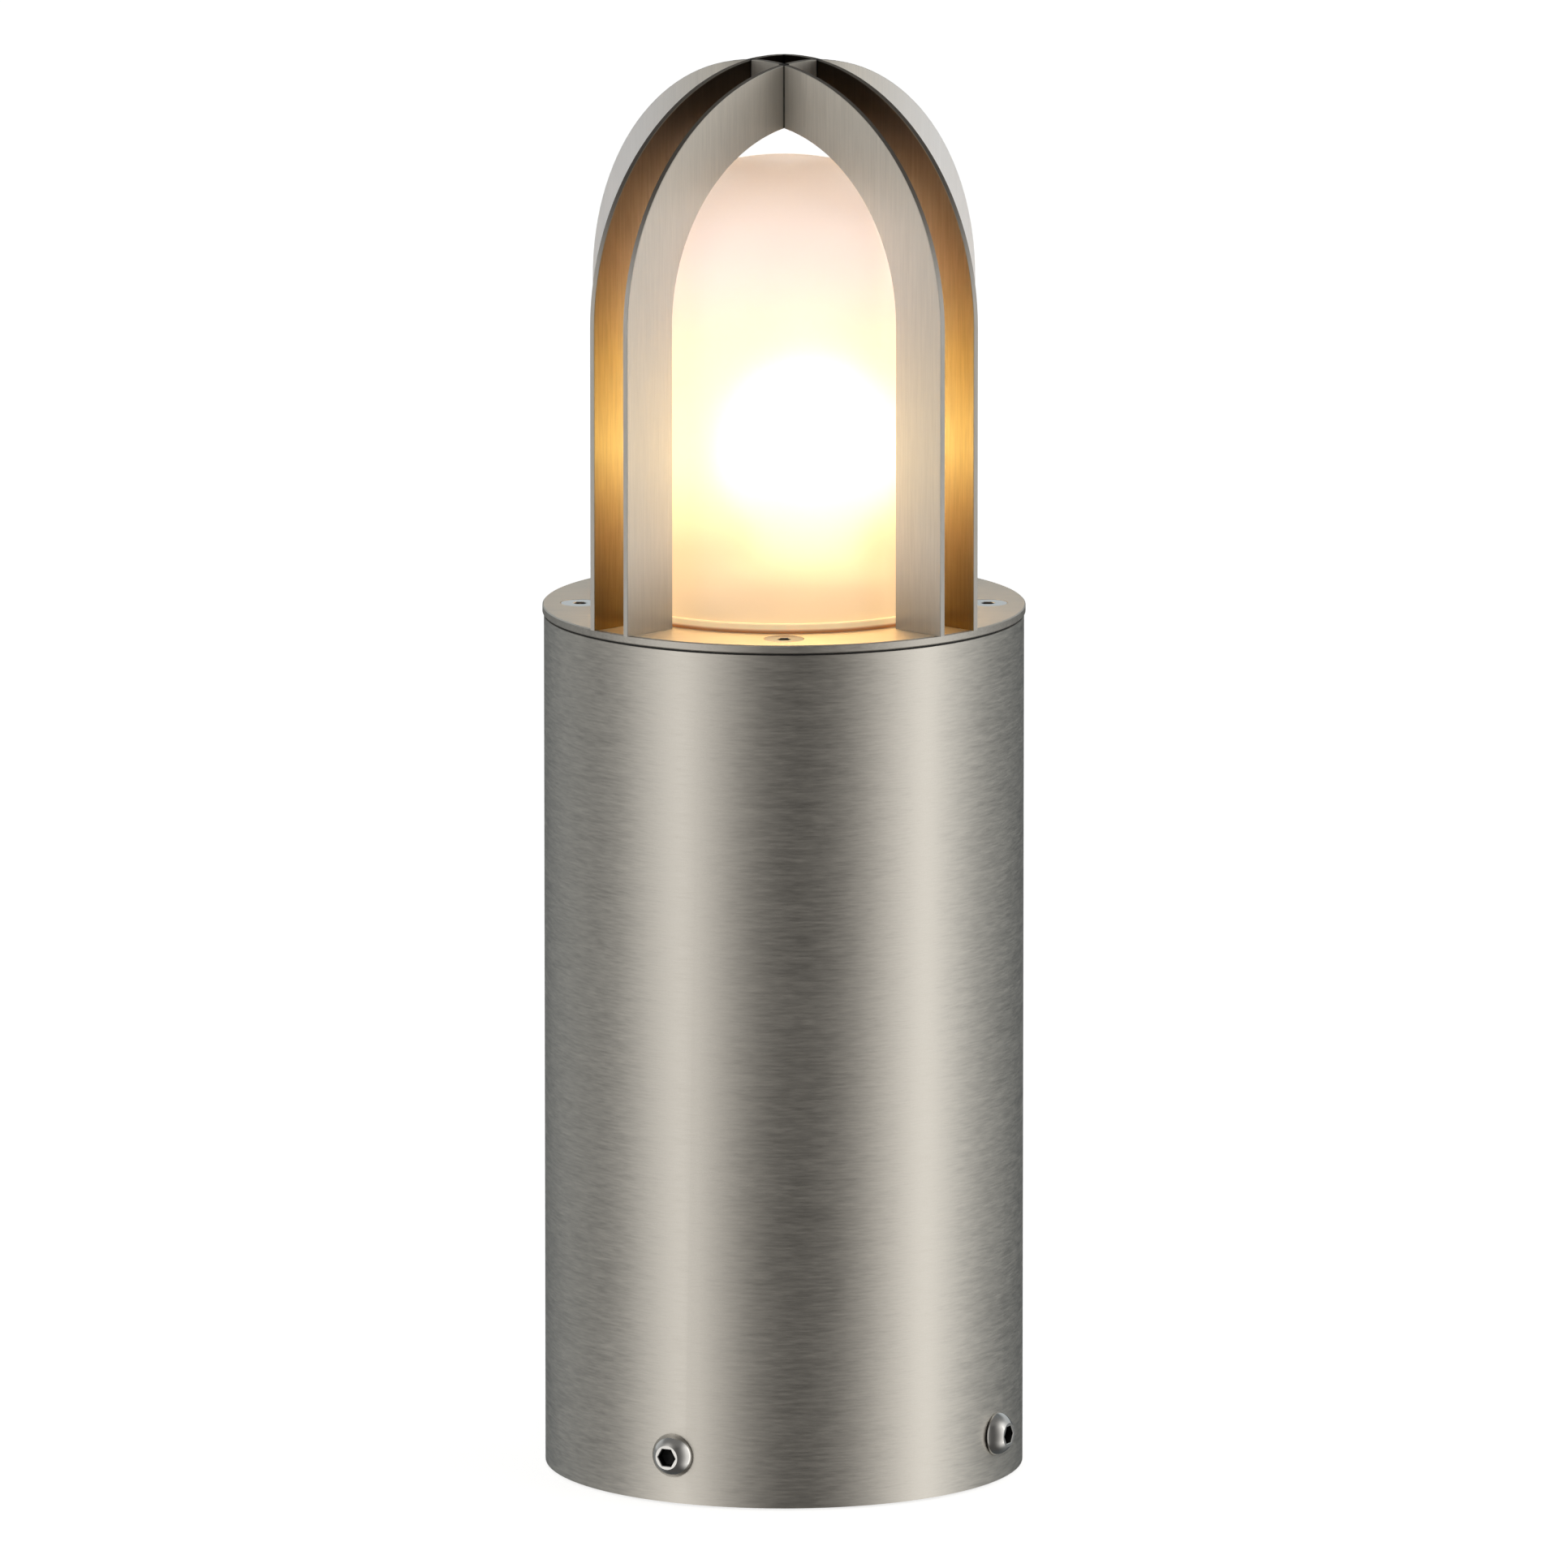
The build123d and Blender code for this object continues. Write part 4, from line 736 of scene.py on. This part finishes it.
class BOLLARD_OT_lamp(bpy.types.Operator):
    """Bulb, threaded cap, stem and filament, and the porcelain holder with its threaded sleeve"""
    bl_idname = "bollard.lamp"
    bl_label = "Lamp and holder"

    def execute(self, context):
        cap_r = (CAP_HIGH.x - CAP_LOW.x) / 2
        self.bulb(cap_r)
        self.cap(cap_r, context.scene.bollard_lamp.thread_pitch)
        brass = clean_metal("bright_brass", (0.80, 0.60, 0.28), 0.24)
        dress(brass, "lampholder_shell", "lampholder_contact", "lampholder_terminals", "terminal_inserts")
        self.filament()
        dress(clear_glass(), "lamp_stem")
        dress(moulded_plastic("black_vitrite", (0.02, 0.02, 0.022), 0.12), "lamp_insulator")
        dress(clean_metal("dull_solder", (0.50, 0.50, 0.50), 0.5), "lamp_contact")
        dress(porcelain(), "lampholder_body")
        return {"FINISHED"}

    def bulb(self, cap_r):
        """Straight neck, a cubic curve that leaves the neck and meets the ball without a corner, and the
        ball, as an outer skin and an inner one joined at the neck's open end. The ball starts at an angle
        in degrees under the level through its middle."""
        wall, neck_in, neck_z, ball_start = 0.8 * MM, 1.0 * MM, CAP_HIGH.z + 0.5 * MM, -48.0

        def skin(inset):
            """Neck, curve and ball, this far inside the outer skin."""
            neck_r, ball_r = cap_r - neck_in - inset, LAMP_R - inset
            p0, t0 = np.array([neck_r, neck_z]), np.array([0.0, 1.0])
            a = radians(ball_start)
            p3, t3 = np.array([ball_r * cos(a), LAMP_Z + ball_r * sin(a)]), np.array([-sin(a), cos(a)])
            reach = 0.36 * np.linalg.norm(p3 - p0)
            p1, p2 = p0 + reach * t0, p3 - reach * t3
            u = np.linspace(0, 1, 16)[:, None]
            curve = (1 - u) ** 3 * p0 + 3 * u * (1 - u) ** 2 * p1 + 3 * u**2 * (1 - u) * p2 + u**3 * p3
            ball = arc(0, LAMP_Z, ball_r, ball_start, 90, 40)[1:]
            ball[-1, 0] = 0
            return np.vstack([[(neck_r, LAMP_LOW.z)], curve, ball])

        verts, faces = lathe(np.vstack([skin(wall)[::-1], skin(0)]), 128)
        add_piece("soft_white_globe", placed(verts, (LAMP_X, 0, 0)), faces, lamp_glass(), "lamp",
                  "lamp_glass", ["lamp_envelope"])

    def cap(self, cap_r, pitch):
        """Rolled round thread in a thin sleeve: at height z and angle t its radius is the mean radius
        plus half the depth times the cosine of (z turned into turns, less t), fading out at both ends.
        The inner skin follows it one wall inside."""
        half_depth, wall, low, high = 0.5 * MM, 0.4 * MM, CAP_LOW.z, CAP_HIGH.z
        columns, rows = 96, 110
        t = np.arange(columns) * TURN / columns

        def skin(start, inset):
            """Rings from a start height to the top of the cap, this far inside the outer skin."""
            z = np.linspace(start, high, rows)[:, None] * np.ones(columns)
            fade = np.clip(np.minimum(z - low - 0.3 * pitch, high - z - 0.5 * pitch) / (0.6 * pitch), 0, 1)
            r = cap_r - half_depth + half_depth * fade * np.cos(TURN * z / pitch - t) - inset
            return np.stack([r * np.cos(t), r * np.sin(t), z], -1)

        verts = np.vstack([skin(low + wall, wall)[::-1], skin(low, 0)]).reshape(-1, 3)
        faces = grid_faces(2 * rows, columns, wrap_rows=True)
        add_piece("threaded_cap", placed(verts, (LAMP_X, 0, 0)), faces,
                  clean_metal("bright_cap", (0.74, 0.73, 0.70), 0.22), "lamp", "cap_metal", ["lamp_cap"])

    def filament(self):
        """Coil and its two supports, each a round wire carried along a path: the coil is a helix about
        a level line, drawn in at both ends, and a support is a quadratic curve."""
        low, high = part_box("lamp_filament")
        half, top = (high.x - low.x) / 2, high.z - 0.5 * MM
        coil_r, coil_wire_r, coil_inset, turns_a_side, tail = 0.36 * MM, 0.10 * MM, 0.2 * MM, 14, 0.06
        s = np.linspace(-1, 1, 400)
        swing, angle = coil_r * np.clip((1 - np.abs(s)) / tail, 0, 1), TURN * turns_a_side * s
        coil = np.stack([LAMP_X + s * (half - coil_inset), swing * np.cos(angle),
                         top + swing * np.sin(angle)], -1)
        wires = [self.wire(coil, coil_wire_r, 8)]
        support_r, foot_apart, head_inset, bulge, sag = 0.28 * MM, 1.1 * MM, 0.6 * MM, 1.2 * MM, 1.0 * MM
        u = np.linspace(0, 1, 24)[:, None]
        for side in (-1, 1):
            foot = np.array([LAMP_X + side * foot_apart, 0, low.z + 0.1 * MM])
            head = np.array([LAMP_X + side * (half - head_inset), 0, top])
            bend = (foot + head) / 2 + np.array([side * bulge, 0, -sag])
            support = (1 - u) ** 2 * foot + 2 * u * (1 - u) * bend + u**2 * head
            wires.append(self.wire(support, support_r, 12))
        add_piece("lit_coil", *joined(wires), lit_wire(), "lamp", "tungsten", ["lamp_filament"],
                  smooth_angle=60.0)

    def wire(self, path, radius, columns):
        """Circle of a radius carried along a path, square to it, and closed at both ends with a fan."""
        along = np.gradient(path, axis=0)
        along /= np.linalg.norm(along, axis=1)[:, None]
        side = np.cross(along, [0.0, 1.0, 0.03])
        side /= np.linalg.norm(side, axis=1)[:, None]
        other = np.cross(along, side)
        t = (np.arange(columns) * TURN / columns)[None, :, None]
        rings = path[:, None] + radius * (np.cos(t) * side[:, None] + np.sin(t) * other[:, None])
        verts = np.vstack([rings.reshape(-1, 3), path[:1], path[-1:]])
        faces = grid_faces(len(path), columns)
        j = np.arange(columns)
        last, tip = (len(path) - 1) * columns, len(path) * columns
        faces += np.stack([(j + 1) % columns, j, np.full(columns, tip)], -1).tolist()
        faces += np.stack([last + j, last + (j + 1) % columns, np.full(columns, tip + 1)], -1).tolist()
        return verts, faces


class BOLLARD_OT_inside(bpy.types.Operator):
    """Finish the rings, straps, brackets, fasteners, terminals and leads inside the tube"""
    bl_idname = "bollard.inside"
    bl_label = "Inner parts"

    def execute(self, context):
        dress(brushed_steel("rolled_inner_steel", (900, 900, 240), tint=0.85, rougher=-0.01, contrast=0.6),
              "mounting_ring", "lamp_strap", "clamp_ring", "wiring_bracket")
        dress(clean_metal("zinc_plate", (0.62, 0.63, 0.61), 0.30), "clamp_studs", "clamp_nuts",
              "lamp_strap_screws", "wiring_bracket_screws", "terminal_screws", "terminal_fixing_screws",
              "lampholder_screws", "earth_screw")
        dress(clean_metal("tinned_lug", (0.66, 0.64, 0.60), 0.35), "earth_lug")
        dress(rubber("grommet_rubber", (0.022, 0.022, 0.022), 0.7), "cable_grommet")
        dress(moulded_plastic("block_ivory", (0.72, 0.69, 0.60), 0.5), "terminal_block")
        dress(moulded_plastic("lead_brown_skin", (0.13, 0.05, 0.025)), "lead_live")
        dress(moulded_plastic("lead_blue_skin", (0.03, 0.10, 0.42)), "lead_neutral")
        dress(striped_lead(), "lead_earth")
        return {"FINISHED"}


class BOLLARD_OT_studio(bpy.types.Operator):
    """Plain pale floor, soft studio lights and the camera"""
    bl_idname = "bollard.studio"
    bl_label = "Studio"

    def execute(self, context):
        studio, scene = context.scene.bollard_studio, context.scene
        self.floor(scene, tuple(studio.floor))
        self.strip(scene, "left strip light", azimuth=-50, width=0.16, power=0.45,
                   colour=(1.0, 0.985, 0.96))
        self.strip(scene, "right strip light", azimuth=72, width=0.20, power=0.6,
                   colour=(1.0, 0.975, 0.94))
        self.world(scene)
        self.lamp_light(scene)
        data = bpy.data.cameras.new("camera")
        data.lens, data.sensor_width, data.clip_end = studio.lens, 36.0, 30.0
        camera = bpy.data.objects.new("camera", data)
        scene.collection.objects.link(camera)
        tilt = np.arctan2(studio.camera_height - studio.aim_height, studio.camera_back)
        camera.location = (0, -studio.camera_back, studio.camera_height)
        camera.rotation_euler = (pi / 2 - tilt, 0, 0)
        scene.camera = camera
        scene.view_settings.view_transform = "Standard"
        return {"FINISHED"}

    def floor(self, scene, colour):
        """Level square just under the light, which the object neither mirrors nor is shaded by."""
        half, drop = 9.0, 0.5 * MM
        mesh = bpy.data.meshes.new("studio_floor")
        corners = [(-half, -half), (half, -half), (half, half), (-half, half)]
        mesh.from_pydata([(x, y, -drop) for x, y in corners], [], [(0, 1, 2, 3)])
        f = Finish("pale_floor", Roughness=0.9, Emission_Strength=0.72)
        tone = f.noise(3, 2.0, 0.5)
        mesh.materials.append(f.set(Base_Color=f.mix(tone, shade(colour, 0.99), colour),
                                    Emission_Color=WHITE))
        floor = bpy.data.objects.new("studio_floor", mesh)
        scene.collection.objects.link(floor)
        floor.visible_glossy = floor.visible_transmission = False
        floor.visible_shadow = floor.visible_diffuse = False

    def strip(self, scene, name, azimuth, width, power, colour):
        """Tall softbox that stands round the floor's level and faces the light's middle. Azimuth 0 is in
        front, 90 to the right."""
        distance, tall, aim_height = 1.6, 2.2, 0.15
        data = bpy.data.lights.new(name, "AREA")
        data.shape, data.size, data.size_y = "RECTANGLE", width, tall
        data.energy, data.color = power, colour
        lamp = bpy.data.objects.new(name, data)
        a = radians(azimuth)
        lamp.location = (distance * sin(a), -distance * cos(a), 0)
        lamp.rotation_euler = (pi / 2 + np.arctan2(aim_height, distance), 0, a)
        lamp.visible_camera = False
        scene.collection.objects.link(lamp)

    def world(self, scene):
        """Surround: white to the eye. What it lights with is a dim room with two tall soft lobes of
        light, in front to the left and at the right, two weak ones further back, a cooler wall behind
        and a soft ceiling. A lobe falls off from its bearing as exp(-(angle / width) squared)."""
        world = bpy.data.worlds.new("studio surround")
        g = Graph(world)
        x, y, z = g.parts(g.node("ShaderNodeTexCoord", out="Generated"))
        bearing = x.math("ARCTAN2", x, y * -1)

        def lobe(middle, width):
            """Light about a bearing, both in degrees."""
            off = x.math("WRAP", bearing - radians(middle), pi, -pi) / radians(width)
            return off.math("EXPONENT", off * off * -1)

        tall = 1 - abs(z).step(0.55, 0.95)
        front = lobe(-53, 29) * 0.92 + lobe(72, 31)
        sides = (front + lobe(-125, 30) * 0.19 + lobe(125, 24) * 0.12) * tall
        behind = lobe(180, 75)
        wall = behind * z.step(0.02, 0.20) * (1 - z.step(0.5, 0.8)) * 0.55
        ceiling, room = z.step(0.6, 0.9) * 0.12, 0.085
        colour = g.mix(behind, (1.0, 0.975, 0.94), (0.90, 0.97, 1.0))
        light = sides + wall + ceiling + room
        lit = g.node("ShaderNodeBackground", values={"Color": colour, "Strength": light})
        seen = g.node("ShaderNodeBackground", values={"Color": WHITE, "Strength": 1.0})
        path = g.node("ShaderNodeLightPath", out="Is Camera Ray")
        mixed = g.node("ShaderNodeMixShader", values={0: path, 1: lit, 2: seen})
        g.node("ShaderNodeOutputWorld", values={"Surface": mixed})
        scene.world = world

    def lamp_light(self, scene):
        """The lamp's own light, as a ball a little smaller than the bulb, which moves with the lamp."""
        data = bpy.data.lights.new("lamp light", "POINT")
        data.shadow_soft_size, data.energy = LAMP_R * 0.9, 0.17
        data.color = (1.0, 0.50, 0.11)
        lamp = bpy.data.objects.new("lamp light", data)
        lamp.location = (LAMP_X, 0, LAMP_Z)
        lamp.visible_camera = lamp.visible_transmission = False
        scene.collection.objects.link(lamp)
        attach(lamp, "lamp")
        for name in ("domed_glass", "soft_white_globe"):
            bpy.data.objects[name].visible_shadow = False


OPERATORS = (BOLLARD_OT_tube, BOLLARD_OT_plate, BOLLARD_OT_cage, BOLLARD_OT_screws, BOLLARD_OT_glass,
             BOLLARD_OT_lamp, BOLLARD_OT_inside, BOLLARD_OT_studio)
GROUPS = {"bollard_metal": BOLLARD_PG_metal, "bollard_glass": BOLLARD_PG_glass,
          "bollard_lamp": BOLLARD_PG_lamp, "bollard_studio": BOLLARD_PG_studio}


class BOLLARD_PT_panel(bpy.types.Panel):
    """Lists the light's sizes and finishes and the operators that build it"""
    bl_idname = "BOLLARD_PT_panel"
    bl_label = "Bollard light"
    bl_space_type = "VIEW_3D"
    bl_region_type = "UI"
    bl_category = "Bollard light"

    def draw(self, context):
        layout = self.layout
        for name, group in GROUPS.items():
            box = layout.box()
            for field in group.__annotations__:
                box.prop(getattr(context.scene, name), field)
        for operator in OPERATORS:
            layout.operator(operator.bl_idname)


def register():
    """Adds the classes to Blender and the groups of sizes to its scenes."""
    for cls in (*GROUPS.values(), *OPERATORS, BOLLARD_PT_panel):
        bpy.utils.register_class(cls)
    for name, group in GROUPS.items():
        setattr(bpy.types.Scene, name, bpy.props.PointerProperty(type=group))


def unregister():
    """Takes away what register added."""
    for name in GROUPS:
        delattr(bpy.types.Scene, name)
    for cls in (BOLLARD_PT_panel, *reversed(OPERATORS), *reversed(GROUPS.values())):
        bpy.utils.unregister_class(cls)


def main():
    """Builds the whole light and its studio."""
    register()
    for operator in OPERATORS:
        group, name = operator.bl_idname.split(".")
        getattr(getattr(bpy.ops, group), name)()


if __name__ == "__main__":
    main()
